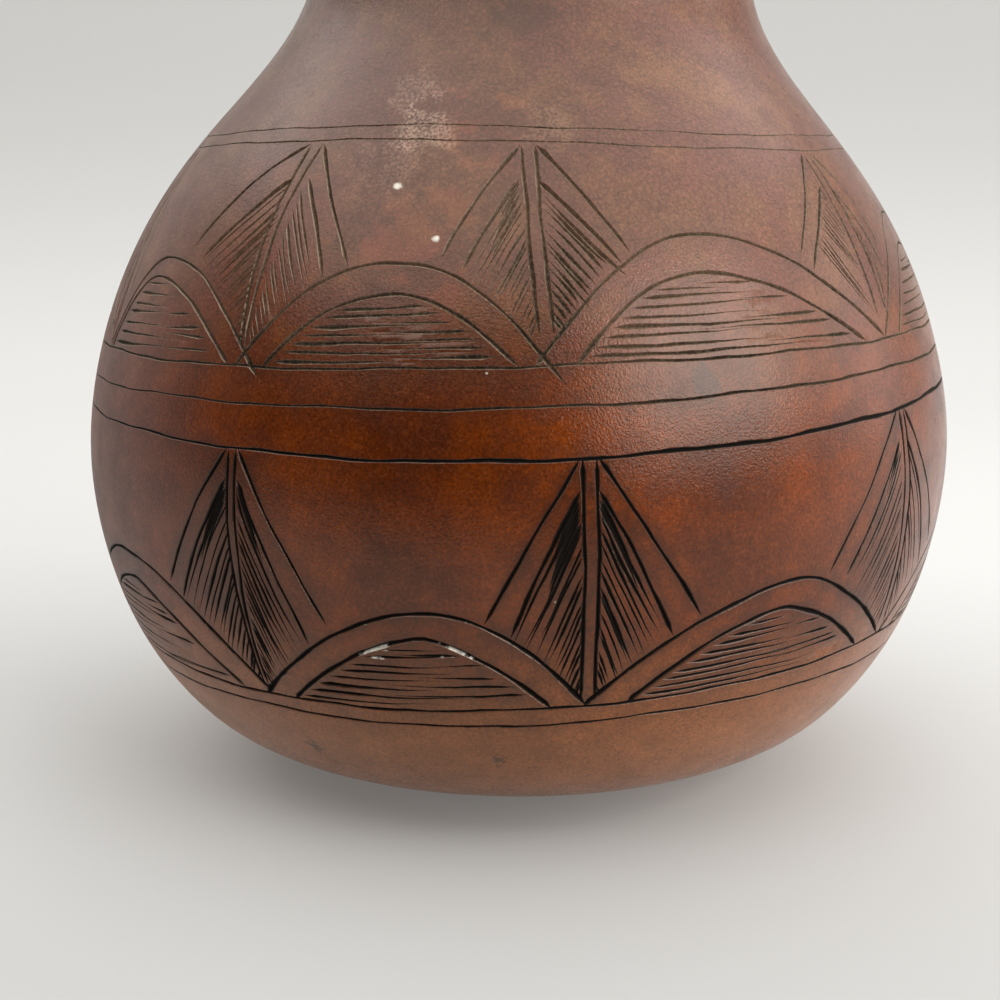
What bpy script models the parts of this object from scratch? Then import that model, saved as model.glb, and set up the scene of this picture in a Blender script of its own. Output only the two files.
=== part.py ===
"""A carved drinking gourd: the dried hollow shell of one bottle gourd.

The shell is one piece that grew: a round bulb on a small flat spot, a shoulder and a short
open neck, with an even wall. Two bands of arches and pointed triangles are cut into the
outside, between ring lines that run right round. Lengths below are millimetres, angles are
degrees round the upright axis, 0 at the front (-Y) and growing to the right (+X).
"""

import math
import random
from dataclasses import dataclass

import bmesh
import bpy
import numpy as np
from mathutils import Vector
from mathutils.geometry import delaunay_2d_cdt

MM = 0.001

# The shell
OUTER = (  # radius and height of the outside, from the edge of the flat spot to the rim
    (26.0, 0.0),
    (36.0, 2.2),
    (52.2, 6.0),
    (68.8, 12.5),
    (79.2, 22.5),
    (87.6, 36.5),
    (93.2, 54.5),
    (95.0, 74.0),
    (91.8, 94.5),
    (86.5, 110.0),
    (79.1, 124.0),
    (68.0, 139.0),
    (55.4, 154.0),
    (49.0, 165.0),
    (45.8, 178.0),
    (43.6, 190.0),
    (42.8, 202.0),
    (43.8, 212.0),
    (45.2, 218.0),
)
WIDEST_AT = 74.0  # height of the widest place
WIDEST = 95.0  # radius there
WALL = 6.0
LEAN_FROM = 142.0  # height where the neck starts to lean to the right
LEAN_EASE = 15.0
LEAN_SLOPE = 0.09
SIDES = 48
PROFILE_STEP = 0.25
BAND_LOW = 24.0
BAND_HIGH = 145.0
BASE_RINGS = 7
NECK_RINGS = 8
INNER_RINGS = 13
RIM_ARC_STEPS = 3
RIM_ROUND = 1.5  # how far the rounded rim stands over the end of the outside
RIM_INSIDE = 4.0  # where the inside starts, measured down the wall from the rim
WELD_WITHIN = 0.02

# The carving
RING_CUT = (1.2, 0.6)  # width and depth
LINE_CUT = (1.1, 0.6)
HATCH_CUT = (1.0, 0.5)
TAPER = 3.0
ARCH_STEP = 11.0
LEG_STEP = 14.0
HATCH_STEP = 16.0
LAND_STEP = 12.0
LAND_CLEAR = 3.2
JOIN_WITHIN = 0.16
ARCH_POWER = 2.0
ARCH_INSET = 0.75  # degrees that an arch's inner line starts inside, for each mm of its band
ARCH_RISE = 12.0  # how much longer an arch's line is than its width
ARCH_HATCH = (0.16, 0.36, 0.56, 0.76)  # heights of the strokes inside an arch, as shares
HATCH_SHORT = 0.12  # share of an arch's half width that a stroke stops short of its line
RIB_HALF = 1.07  # degrees from a triangle's middle to each line of its rib
RIB_FOOT = 2.5  # how far a rib stops over the base line
APEX_DROP = 1.2  # how far a triangle's ribs start under the line above it
LEG_DROP = (1.0, 6.5, 6.5, 1.0)  # how far its four legs start under its ribs
LEG_AWAY = (-2.2, -2.0, 2.0, 2.2)  # how far they start from its middle, in rib halves
LEG_GAP = 1.2  # how far they stop over the arch
POINT_HATCH = ((0.25, 11.5), (0.52, 17.0))  # aim of a stroke beside a rib, and its start
HATCH_AWAY = 2.4  # how far a stroke starts from the middle, in rib halves
HATCH_GAP = 2.0  # how far it stops over the arch
UPPER_BAND = 5.2  # width of the plain band between an arch's two lines
LOWER_BAND = 5.0

# The far side, which the photograph doesn't show
HIDDEN_UPPER = 5  # arches there
HIDDEN_LOWER = 4
HIDDEN_GAP = 0.3  # degrees between an arch's end and its valley
HIDDEN_CROWN = 0.06  # most that a crown is off the middle, as a share of the arch's width
HIDDEN_TOP = 2.0  # most that a crown is higher or lower than the near ones
HIDDEN_LEAN = 1.5  # most that a triangle leans, in degrees
HIDDEN_FEET = (-0.32, -0.24, 0.24, 0.32)  # feet of a triangle, as shares of an arch's width
HIDDEN_FOOT = 0.6  # most that a foot is out of place, in degrees
SEED = 7


@dataclass(frozen=True)
class Ring:
    """A line cut right round: its middle height, its tilt and a slow wave."""

    height: float
    tilt: float
    wave: float
    turns: int
    shift: float

    def at(self, angle):
        """Height of the line at an angle."""
        turn = math.radians(angle)
        wave = self.wave * math.sin(self.turns * turn + math.radians(self.shift))
        return self.height + self.tilt * math.sin(turn) + wave


NECK_LINES = (Ring(139.0, -0.2, 0.7, 3, 140.0), Ring(136.4, -0.5, 0.6, 3, 141.0))
UPPER_BASE = Ring(98.4, 2.4, 0.2, 4, 71.0)
BELT_LINES = (UPPER_BASE, Ring(92.0, 3.1, 0.4, 3, -114.0), Ring(84.4, 3.0, 1.7, 2, -100.0))
LOWER_BASE = Ring(36.6, 2.6, 1.5, 2, -51.0)
FOOT_LINES = (LOWER_BASE, Ring(32.2, 3.0, 0.5, 5, -61.0))


@dataclass(frozen=True)
class Arch:
    """One arch: the angles of its two ends and its crown, and the crown's height."""

    left: float
    crown: float
    right: float
    top: float


@dataclass(frozen=True)
class Point:
    """One triangle over a valley: the angles of its tip, its root and its four feet."""

    tip: float
    root: float
    feet: tuple


UPPER_ARCHES = [
    Arch(-69.0, -54.0, -34.5, 115.0),
    Arch(-34.0, -13.5, 2.2, 116.0),
    Arch(2.4, 22.5, 50.6, 120.6),
    Arch(51.0, 70.0, 92.0, 122.0),
]
LOWER_ARCHES = [
    Arch(-82.0, -58.5, -33.4, 57.0),
    Arch(-33.0, -9.5, 8.0, 55.0),
    Arch(8.3, 34.0, 55.3, 58.2),
    Arch(55.8, 76.0, 98.0, 59.0),
]
UPPER_POINTS = [
    Point(-33.0, -34.2, (-49.0, -45.5, -25.0, -21.0)),
    Point(1.2, 2.3, (-10.5, -7.2, 12.3, 14.0)),
    Point(51.0, 50.8, (38.0, 40.0, 57.0, 59.5)),
]
LOWER_POINTS = [
    Point(-33.5, -33.2, (-46.0, -43.0, -25.3, -21.5)),
    Point(7.7, 8.1, (-4.0, -0.8, 17.8, 21.2)),
    Point(51.5, 55.5, (38.0, 42.3, 63.5, 66.5)),
]


def spline(points, step):
    """Points every step along a smooth curve that starts level and passes through all points."""
    knots = np.array(points)
    chord = np.concatenate([[0.0], np.cumsum(np.hypot(*np.diff(knots, axis=0).T))])
    gap = np.diff(chord)
    count = len(knots)
    system = np.zeros((count, count))
    right = np.zeros((count, 2))
    slope = np.diff(knots, axis=0) / gap[:, None]
    system[0, :2] = (2.0 * gap[0], gap[0])
    right[0] = 6.0 * (slope[0] - np.array((1.0, 0.0)))
    for i in range(1, count - 1):
        system[i, i - 1 : i + 2] = (gap[i - 1], 2.0 * (gap[i - 1] + gap[i]), gap[i])
        right[i] = 6.0 * (slope[i] - slope[i - 1])
    system[-1, -1] = 1.0
    bend = np.linalg.solve(system, right)
    along = np.linspace(0.0, chord[-1], int(chord[-1] / step))
    i = np.clip(np.searchsorted(chord, along, side="right") - 1, 0, count - 2)
    span = gap[i][:, None]
    b = (along - chord[i])[:, None]
    a = span - b
    return (
        (bend[i] * a**3 + bend[i + 1] * b**3) / (6.0 * span)
        + (knots[i] / span - bend[i] * span / 6.0) * a
        + (knots[i + 1] / span - bend[i + 1] * span / 6.0) * b
    )


class Skin:
    """The outside as a surface of revolution, and the flat ring that it is unrolled onto.

    The flat ring keeps angles: a short line looks the same on it as on the gourd, only
    scaled, so the carving is laid out and meshed there.
    """

    def __init__(self):
        curve = spline(OUTER, PROFILE_STEP)
        self.radius, self.height = curve.T
        step = np.hypot(np.diff(self.radius), np.diff(self.height))
        self.length = np.concatenate([[0.0], np.cumsum(step)])
        middle = (self.radius[1:] + self.radius[:-1]) / 2.0
        spread = np.concatenate([[0.0], np.cumsum(step / middle)])
        widest = np.interp(WIDEST_AT, self.height, spread)
        self.flat = np.exp(spread - widest)
        self.out = np.stack(
            [np.gradient(self.height, self.length), -np.gradient(self.radius, self.length)], axis=1
        )

    def place(self, angle, height):
        """Position on the flat ring of a point of the outside."""
        turn = math.radians(angle - 90.0)
        reach = float(np.interp(height, self.height, self.flat))
        return np.array((math.cos(turn), math.sin(turn))) * reach

    def scale(self, spots):
        """Millimetres on the gourd for one unit of the flat ring at each spot."""
        reach = np.hypot(spots[:, 0], spots[:, 1])
        return np.interp(reach, self.flat, self.radius) / reach

    def raise_up(self, spots, depth):
        """Points of the gourd for spots of the flat ring, sunk by depth."""
        reach = np.hypot(spots[:, 0], spots[:, 1])
        radius = np.interp(reach, self.flat, self.radius)
        height = np.interp(reach, self.flat, self.height)
        aside = np.interp(reach, self.flat, self.out[:, 0])
        upward = np.interp(reach, self.flat, self.out[:, 1])
        round_axis = spots / reach[:, None]
        sunk = radius - depth * aside
        return np.column_stack([round_axis * sunk[:, None], height - depth * upward])

    def offset(self, index, depth):
        """Radius and height of the profile's point, moved inwards by depth."""
        return (
            float(self.radius[index] - depth * self.out[index, 0]),
            float(self.height[index] - depth * self.out[index, 1]),
        )


class Cut:
    """A V-shaped groove along a line of the flat ring."""

    def __init__(self, skin, spots, size, closed=False):
        self.spots = np.array(spots)
        self.closed = closed
        width, depth = size
        fade = np.ones(len(self.spots))
        if not closed:
            scale = skin.scale(self.spots)[1:]
            step = np.hypot(*np.diff(self.spots, axis=0).T) * scale
            run = np.concatenate([[0.0], np.cumsum(step)])
            fade = np.clip(np.minimum(run, run[-1] - run) / TAPER, 0.0, 1.0)
        self.half = width / 2.0 * fade
        self.depth = depth * fade

    def banks(self, skin):
        """The two edges of the groove, on the flat ring."""
        if self.closed:
            along = np.roll(self.spots, -1, axis=0) - np.roll(self.spots, 1, axis=0)
        else:
            along = np.gradient(self.spots, axis=0)
        along /= np.hypot(along[:, 0], along[:, 1])[:, None]
        side = np.stack([-along[:, 1], along[:, 0]], axis=1)
        reach = (self.half / skin.scale(self.spots))[:, None]
        return self.spots + side * reach, self.spots - side * reach

    def sink(self, skin, spots):
        """How deep this groove is at each spot."""
        ends = np.roll(self.spots, -1, axis=0) if self.closed else self.spots[1:]
        last = len(ends)
        scale = skin.scale(spots)
        deepest = np.zeros(len(spots))
        for i in range(last):
            j = (i + 1) % len(self.spots)
            run = ends[i] - self.spots[i]
            part = np.clip((spots - self.spots[i]) @ run / (run @ run), 0.0, 1.0)
            off = spots - self.spots[i] - part[:, None] * run
            gap = np.hypot(off[:, 0], off[:, 1]) * scale
            half = self.half[i] + part * (self.half[j] - self.half[i])
            depth = self.depth[i] + part * (self.depth[j] - self.depth[i])
            near = half > 1e-6
            rise = np.where(near, 1.0 - gap / np.where(near, half, 1.0), 0.0)
            deepest = np.maximum(deepest, depth * np.clip(rise, 0.0, 1.0))
        return deepest


def arch_height(arch, base, angle, drop=0.0):
    """Height of an arch's line, drop millimetres inside its outer one."""
    half = arch.crown - arch.left if angle < arch.crown else arch.right - arch.crown
    off = min(abs(angle - arch.crown) / half, 1.0)
    foot = base.at(angle)
    return foot + (arch.top - drop - foot) * (1.0 - off**ARCH_POWER)


def stations(start, end, length, step):
    """Evenly spaced values from start to end, for a line of this length."""
    return np.linspace(start, end, max(int(round(length / step)), 2) + 1)


def ring_cut(skin, ring):
    """The groove of a line that runs right round."""
    angles = [360.0 * i / SIDES + 90.0 for i in range(SIDES)]
    spots = [skin.place(angle, ring.at(angle)) for angle in angles]
    return Cut(skin, spots, RING_CUT, closed=True)


def arch_cuts(skin, arch, base, band):
    """The two lines of an arch and a few strokes of its hatching."""
    cuts = []
    for drop in (0.0, band):
        inset = drop * ARCH_INSET
        inner = Arch(arch.left + inset, arch.crown, arch.right - inset, arch.top)
        span = math.radians(inner.right - inner.left) * WIDEST
        angles = stations(inner.left, inner.right, span + ARCH_RISE, ARCH_STEP)
        lines = [skin.place(a, arch_height(inner, base, a, drop)) for a in angles]
        cuts.append(Cut(skin, lines, LINE_CUT))
    for share in ARCH_HATCH:
        reach = math.sqrt(1.0 - share) - HATCH_SHORT
        left = arch.crown - (arch.crown - arch.left - band * ARCH_INSET) * reach
        right = arch.crown + (arch.right - arch.crown - band * ARCH_INSET) * reach
        rise = (arch.top - band - base.at(arch.crown)) * share
        angles = stations(left, right, math.radians(right - left) * WIDEST, HATCH_STEP)
        strokes = [skin.place(a, base.at(a) + rise) for a in angles]
        cuts.append(Cut(skin, strokes, HATCH_CUT))
    return cuts


def straight_cut(skin, start, end, size, step):
    """A groove straight from one (angle, height) to another."""
    first = skin.place(*start)
    last = skin.place(*end)
    length = float(np.hypot(*(last - first)) * skin.scale(np.array([first]))[0])
    shares = stations(0.0, 1.0, length, step)
    return Cut(skin, [first + (last - first) * share for share in shares], size)


def point_cuts(skin, point, arches, base, ceiling):
    """A triangle: its double rib, its two double legs and a stroke of hatching each side."""
    tip = ceiling.at(point.tip) - APEX_DROP
    left_arch, right_arch = arches
    foot = base.at(point.root) + RIB_FOOT
    cuts = []
    for rib in (-RIB_HALF, RIB_HALF):
        ends = (point.tip + rib, tip), (point.root + rib, foot)
        cuts.append(straight_cut(skin, *ends, LINE_CUT, LEG_STEP))
    for angle, drop, away in zip(point.feet, LEG_DROP, LEG_AWAY):
        arch = left_arch if angle < point.tip else right_arch
        end = arch_height(arch, base, angle) + LEG_GAP
        begin = (point.tip + away * RIB_HALF, tip - drop)
        cuts.append(straight_cut(skin, begin, (angle, end), LINE_CUT, LEG_STEP))
    for angle, away in ((point.feet[1], -HATCH_AWAY), (point.feet[2], HATCH_AWAY)):
        arch = left_arch if angle < point.tip else right_arch
        for share, drop in POINT_HATCH:
            aim = angle + (point.root - angle) * share
            end = arch_height(arch, base, aim) + HATCH_GAP
            begin = (point.tip + away * RIB_HALF, tip - drop)
            cuts.append(straight_cut(skin, begin, (aim, end), HATCH_CUT, HATCH_STEP))
    return cuts


def fill_round(arches, points, count, draw):
    """Arches and triangles for the far side, by the same rule as the near one."""
    first, last = arches[0], arches[-1]
    width = (360.0 + first.left - last.right) / count
    tops = [arch.top for arch in arches]
    arches = list(arches)
    for i in range(count):
        left = last.right + i * width
        crown = left + width * (0.5 + draw.uniform(-HIDDEN_CROWN, HIDDEN_CROWN))
        top = sum(tops) / len(tops) + draw.uniform(-HIDDEN_TOP, HIDDEN_TOP)
        arches.append(Arch(left + HIDDEN_GAP, crown, left + width - HIDDEN_GAP, top))
    roots = [last.right + i * width for i in range(count + 1)]
    points = list(points)
    for root in roots:
        tip = root + draw.uniform(-HIDDEN_LEAN, HIDDEN_LEAN)
        spread = [width * share for share in HIDDEN_FEET]
        feet = tuple(tip + part + draw.uniform(-HIDDEN_FOOT, HIDDEN_FOOT) for part in spread)
        points.append(Point(tip, root, feet))
    return arches, points


def band_cuts(skin, arches, points, base, ceiling, band):
    """All the grooves of one band."""
    cuts = []
    for arch in arches:
        cuts.extend(arch_cuts(skin, arch, base, band))
    for point in points:
        left = min(arches, key=lambda arch: abs(turned(arch.right - point.root)))
        right = min(arches, key=lambda arch: abs(turned(arch.left - point.root)))
        pair = [shifted(arch, point.root) for arch in (left, right)]
        cuts.extend(point_cuts(skin, point, pair, base, ceiling))
    return cuts


def turned(angle):
    """The same angle between -180 and 180."""
    return (angle + 180.0) % 360.0 - 180.0


def shifted(arch, angle):
    """The arch, counted from the turn that the angle is in."""
    whole = round((angle - arch.crown) / 360.0) * 360.0
    return Arch(arch.left + whole, arch.crown + whole, arch.right + whole, arch.top)


def all_cuts(skin):
    """Every groove of the gourd."""
    draw = random.Random(SEED)
    cuts = [ring_cut(skin, ring) for ring in NECK_LINES + BELT_LINES + FOOT_LINES]
    arches, points = fill_round(UPPER_ARCHES, UPPER_POINTS, HIDDEN_UPPER, draw)
    cuts.extend(band_cuts(skin, arches, points, UPPER_BASE, NECK_LINES[1], UPPER_BAND))
    arches, points = fill_round(LOWER_ARCHES, LOWER_POINTS, HIDDEN_LOWER, draw)
    cuts.extend(band_cuts(skin, arches, points, LOWER_BASE, BELT_LINES[2], LOWER_BAND))
    return cuts


def land_spots(skin, cuts):
    """Even spots between the grooves, so that the plain skin stays round."""
    low, high = (np.interp(z, skin.height, skin.length) for z in (BAND_LOW, BAND_HIGH))
    rows = int((high - low) / LAND_STEP)
    spots = []
    for row in range(1, rows):
        along = low + (high - low) * row / rows
        height = float(np.interp(along, skin.length, skin.height))
        radius = float(np.interp(along, skin.length, skin.radius))
        count = int(2.0 * math.pi * radius / LAND_STEP)
        for i in range(count):
            spots.append(skin.place(360.0 * (i + 0.5 * (row % 2)) / count, height))
    spots = np.array(spots)
    scale = skin.scale(spots)
    clear = np.ones(len(spots), bool)
    for cut in cuts:
        start = cut.spots
        end = np.roll(start, -1, axis=0) if cut.closed else start[1:]
        for a, b in zip(start, end):
            run = b - a
            part = np.clip((spots - a) @ run / (run @ run), 0.0, 1.0)
            off = spots - a - part[:, None] * run
            clear &= np.hypot(off[:, 0], off[:, 1]) * scale > LAND_CLEAR
    return spots[clear]


def carved_band(skin):
    """Points and triangles of the band that holds the carving."""
    cuts = all_cuts(skin)
    edges = []
    spots = []

    def add_line(line, closed):
        first = len(spots)
        spots.extend(line)
        edges.extend((first + i, first + i + 1) for i in range(len(line) - 1))
        if closed:
            edges.append((first + len(line) - 1, first))

    turns = [360.0 * i / SIDES + 90.0 for i in range(SIDES)]
    for height in (BAND_LOW, BAND_HIGH):
        add_line([skin.place(angle, height) for angle in turns], True)
    for cut in cuts:
        add_line(list(cut.spots), cut.closed)
        for bank in cut.banks(skin):
            line = bank if cut.closed else np.concatenate([cut.spots[:1], bank[1:-1], cut.spots[-1:]])
            add_line(list(line), cut.closed)
    spots.extend(land_spots(skin, cuts))
    within = JOIN_WITHIN / WIDEST
    made = delaunay_2d_cdt([Vector(spot) for spot in spots], edges, [], 0, within, False)
    flat = np.array([vertex[:] for vertex in made[0]])
    hole = float(np.interp(BAND_LOW, skin.height, skin.flat))
    centres = np.array([flat[list(face)].mean(axis=0) for face in made[2]])
    keep = np.hypot(centres[:, 0], centres[:, 1]) > hole * math.cos(math.pi / SIDES)
    faces = [face for face, kept in zip(made[2], keep) if kept]
    depth = np.zeros(len(flat))
    for cut in cuts:
        depth = np.maximum(depth, cut.sink(skin, flat))
    return skin.raise_up(flat, depth), faces


def spun(profile):
    """A bmesh of a profile of (radius, height) turned right round."""
    mesh = bmesh.new()
    verts = [mesh.verts.new((radius * MM, 0.0, height * MM)) for radius, height in profile]
    edges = [mesh.edges.new(pair) for pair in zip(verts, verts[1:])]
    bmesh.ops.spin(
        mesh,
        geom=verts + edges,
        axis=(0.0, 0.0, 1.0),
        cent=(0.0, 0.0, 0.0),
        angle=2.0 * math.pi,
        steps=SIDES,
        use_merge=True,
    )
    return mesh


def base_profile(skin):
    """The plain foot, from the middle of the flat spot up to the carved band."""
    end = float(np.interp(BAND_LOW, skin.height, skin.length))
    profile = [(0.0, 0.0)]
    for i in range(BASE_RINGS + 1):
        along = end * (i / BASE_RINGS)
        radius = float(np.interp(along, skin.length, skin.radius))
        profile.append((radius, float(np.interp(along, skin.length, skin.height))))
    return profile


def neck_profile(skin):
    """The plain neck, the rounded rim and the inside, down to its middle."""
    start = float(np.interp(BAND_HIGH, skin.height, skin.length))
    end = skin.length[-1] - RIM_ROUND
    profile = []
    for i in range(NECK_RINGS + 1):
        along = start + (end - start) * i / NECK_RINGS
        radius = float(np.interp(along, skin.length, skin.radius))
        profile.append((radius, float(np.interp(along, skin.length, skin.height))))
    outer_radius, rim_height = profile[-1]
    for i in range(1, RIM_ARC_STEPS + 1):
        turn = math.pi * i / RIM_ARC_STEPS
        across = WALL / 2.0 * (1.0 - math.cos(turn))
        profile.append((outer_radius - across, rim_height + RIM_ROUND * math.sin(turn)))
    lengths = np.linspace(end - RIM_INSIDE, 0.0, INNER_RINGS)
    for along in lengths:
        index = int(np.searchsorted(skin.length, along))
        profile.append(skin.offset(min(index, len(skin.length) - 1), WALL))
    profile.append((0.0, WALL))
    return profile


def lean(height):
    """How far the axis is to the right at a height in millimetres."""
    above = height - LEAN_FROM
    return LEAN_SLOPE * (math.hypot(above, LEAN_EASE) + above) / 2.0


def gourd_mesh():
    """The whole shell as one closed mesh."""
    skin = Skin()
    whole = bmesh.new()
    points, faces = carved_band(skin)
    verts = [whole.verts.new(point * MM) for point in points]
    for face in faces:
        whole.faces.new([verts[i] for i in face])
    for profile in (base_profile(skin), neck_profile(skin)):
        part = spun(profile)
        scratch = bpy.data.meshes.new("turned")
        part.to_mesh(scratch)
        part.free()
        whole.from_mesh(scratch)
        bpy.data.meshes.remove(scratch)
    bmesh.ops.remove_doubles(whole, verts=whole.verts, dist=WELD_WITHIN * MM)
    bmesh.ops.triangulate(whole, faces=whole.faces)
    loose = [vert for vert in whole.verts if not vert.link_faces]
    bmesh.ops.delete(whole, geom=loose, context="VERTS")
    bmesh.ops.recalc_face_normals(whole, faces=whole.faces)
    for vert in whole.verts:
        vert.co.x += lean(vert.co.z / MM) * MM
    mesh = bpy.data.meshes.new("gourd_shell")
    whole.to_mesh(mesh)
    whole.free()
    return mesh


def dried_skin():
    """The gourd's polished red-brown rind."""
    material = bpy.data.materials.new("dried_gourd_rind")
    material.use_nodes = True
    shader = material.node_tree.nodes["Principled BSDF"]
    shader.inputs["Base Color"].default_value = (0.17, 0.045, 0.02, 1.0)
    shader.inputs["Roughness"].default_value = 0.4
    shader.inputs["Metallic"].default_value = 0.0
    return material


def main():
    for thing in list(bpy.data.objects):
        bpy.data.objects.remove(thing)
    mesh = gourd_mesh()
    mesh.materials.append(dried_skin())
    mesh.shade_smooth()
    mesh.set_sharp_from_angle(angle=math.radians(30.0))
    shell = bpy.data.objects.new("gourd_shell", mesh)
    bpy.context.scene.collection.objects.link(shell)


main()
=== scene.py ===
"""Looks of a carved drinking gourd: the dried, polished shell of one bottle gourd.

The frame holds the gourd as one plain solid. This script replaces it with a fine mesh of the
same shape, in which every knife cut is a real groove, and gives it the worn red-brown rind.
Angles are degrees round the upright axis, 0 at the front (-Y) and growing to the right (+X).
Lengths are millimetres until a mesh is made.
"""

from __future__ import annotations

import logging
import math
import random
from collections.abc import Iterator
from dataclasses import dataclass, field
from enum import Enum

import bmesh
import bpy
import numpy as np
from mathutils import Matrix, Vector, noise
from mathutils.geometry import delaunay_2d_cdt


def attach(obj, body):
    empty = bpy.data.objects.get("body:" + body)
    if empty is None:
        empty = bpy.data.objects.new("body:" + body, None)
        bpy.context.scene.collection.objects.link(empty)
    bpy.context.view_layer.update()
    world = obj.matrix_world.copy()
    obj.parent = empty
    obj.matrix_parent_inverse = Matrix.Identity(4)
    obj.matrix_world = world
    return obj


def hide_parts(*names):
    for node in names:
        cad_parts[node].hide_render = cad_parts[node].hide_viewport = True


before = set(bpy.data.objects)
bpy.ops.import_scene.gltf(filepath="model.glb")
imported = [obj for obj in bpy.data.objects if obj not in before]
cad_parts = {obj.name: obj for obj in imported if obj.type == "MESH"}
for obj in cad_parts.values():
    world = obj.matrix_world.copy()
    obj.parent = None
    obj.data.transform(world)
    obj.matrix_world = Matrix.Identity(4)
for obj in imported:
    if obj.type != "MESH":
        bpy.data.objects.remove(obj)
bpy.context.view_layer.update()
LOG = logging.getLogger("gourd")
MM = 0.001


@dataclass(frozen=True)
class Blade:
    """How a knife cut is made.

    Width and depth are millimetres, ink is how dark the cut is, ramp is the length over which
    the cut opens at its start, and tail the share of its length over which it thins out. Heel
    is how much heavier it is near both ends.
    """

    width: float
    depth: float
    ink: float
    ramp: float
    tail: float
    step: float
    heel: float = 0.0


class Knife(Enum):
    """The kinds of cut on the gourd."""

    SCORE = Blade(0.34, 0.12, 0.62, 2.0, 0.05, 2.5)
    LINE = Blade(0.66, 0.32, 1.0, 2.0, 0.05, 2.5)
    WIDE = Blade(0.98, 0.44, 1.0, 2.0, 0.05, 2.5)
    ARCH = Blade(0.86, 0.42, 1.0, 1.5, 0.04, 1.8, 0.5)
    RIB = Blade(0.88, 0.44, 1.0, 0.8, 0.10, 2.8, 0.2)
    LEG = Blade(0.74, 0.38, 1.0, 1.2, 0.12, 2.6, 0.5)
    ROW = Blade(0.92, 0.42, 1.0, 2.0, 0.95, 2.6)
    FAN = Blade(0.76, 0.36, 1.0, 1.6, 0.5, 2.8)


class Side(Enum):
    """The two sides of a triangle or an arch."""

    LEFT = -1
    RIGHT = 1


@dataclass(frozen=True)
class Ring:
    """A line cut right round: its middle height, its tilt and a slow wave.

    Faint is how much thinner it is at the left than at the right.
    """

    height: float
    tilt: float
    wave: float
    turns: int
    shift: float
    knife: Knife = Knife.LINE
    scale: float = 1.0
    faint: float = 0.0

    FAINTEST_AT = -80.0

    def at(self, angle: float) -> float:
        """Works out the height of the line.

        Args:
            angle: Angle round the gourd.

        Returns:
            The height in millimetres.
        """
        turn = math.radians(angle)
        wave = self.wave * math.sin(self.turns * turn + math.radians(self.shift))
        return self.height + self.tilt * math.sin(turn) + wave

    def size(self, angle: float) -> float:
        """Gives the scale of the line's width and depth at an angle."""
        near = 0.5 + 0.5 * math.cos(math.radians(angle - self.FAINTEST_AT))
        return self.scale * (1.0 - self.faint * near**3)


@dataclass(frozen=True)
class Bow:
    """One curved line of an arch: its ends and crown, its top, and how full each half is."""

    left: float
    crown: float
    right: float
    top: float
    rise: float = 2.0
    fall: float = 2.0

    HIGHEST = 0.98

    def at(self, angle: float, base: Ring) -> float:
        """Works out the height of the line.

        Args:
            angle: Angle round the gourd.
            base: The ring line that the arch stands on.

        Returns:
            The height in millimetres.
        """
        foot = base.at(angle)
        if angle < self.crown:
            off = min((self.crown - angle) / (self.crown - self.left), 1.0)
            share = 1.0 - off**self.rise
        else:
            off = min((angle - self.crown) / (self.right - self.crown), 1.0)
            share = 1.0 - off**self.fall
        return foot + (self.top - foot) * share

    def edge(self, side: Side, lift: float, base: Ring) -> float:
        """Finds where one half of the line is a given height over the base.

        Args:
            side: Which half.
            lift: The height over the base.
            base: The ring line that the arch stands on.

        Returns:
            The angle round the gourd.
        """
        share = min(lift / (self.top - base.at(self.crown)), self.HIGHEST)
        if side is Side.LEFT:
            return self.crown - (self.crown - self.left) * (1.0 - share) ** (1.0 / self.rise)
        return self.crown + (self.right - self.crown) * (1.0 - share) ** (1.0 / self.fall)

    def moved(self, angle: float) -> Bow:
        """Gives the same line a number of degrees further round."""
        return Bow(
            self.left + angle, self.crown + angle, self.right + angle, self.top, self.rise, self.fall
        )


@dataclass(frozen=True)
class Arch:
    """An arch: its lines, the rows of hatching inside it, and how far its right foot runs on."""

    outer: Bow
    inner: Bow
    rows: int = 8
    over: float = 0.0


@dataclass(frozen=True)
class Leg:
    """A line of a triangle: the angle of its foot, its height over the arch and its bulge."""

    foot: float
    gap: float
    bulge: float = 0.03


@dataclass(frozen=True)
class Point:
    """A triangle that stands in the valley between two arches.

    Clusters are extra cuts beside the tops of the inner legs. Inward says which fans are cut
    from the arch towards the rib, and so are fattest at the arch. Swept fans run from the leg
    down to the rib.
    """

    tips: tuple[float, float]
    roots: tuple[float, float]
    legs: tuple[Leg, Leg, Leg, Leg]
    fans: tuple[int, int] = (11, 11)
    sway: float = 0.0
    ink: tuple[float, float] = (1.0, 1.0)
    floor: float = 2.0
    inward: tuple[bool, bool] = (False, False)
    clusters: tuple[int, int] = (0, 0)
    swept: bool = False


@dataclass(frozen=True)
class Register:
    """One band of the carving, round the whole gourd."""

    base: Ring
    ceiling: Ring
    arches: tuple[Arch, ...]
    points: tuple[Point, ...]
    hidden: int
    band: float
    drop: float
    inner_drop: float
    stain: float
    weight: float


NECK_LINES = (
    Ring(139.0, -0.2, 0.7, 3, 140.0, Knife.SCORE),
    Ring(136.4, -0.5, 0.6, 3, 141.0, Knife.SCORE, 1.15),
)
UPPER_BASE = Ring(98.4, 2.4, 0.2, 4, 71.0, Knife.LINE, 0.9)
BELT_LINES = (
    UPPER_BASE,
    Ring(92.0, 3.1, 0.4, 3, -114.0, Knife.LINE, 1.0, 0.45),
    Ring(84.4, 3.0, 1.7, 2, -100.0, Knife.WIDE, 1.0, 0.55),
)
LOWER_BASE = Ring(36.6, 2.6, 1.5, 2, -51.0, Knife.LINE, 1.2)
FOOT_LINES = (LOWER_BASE, Ring(32.2, 3.0, 0.5, 5, -61.0, Knife.LINE, 1.05))

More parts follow.
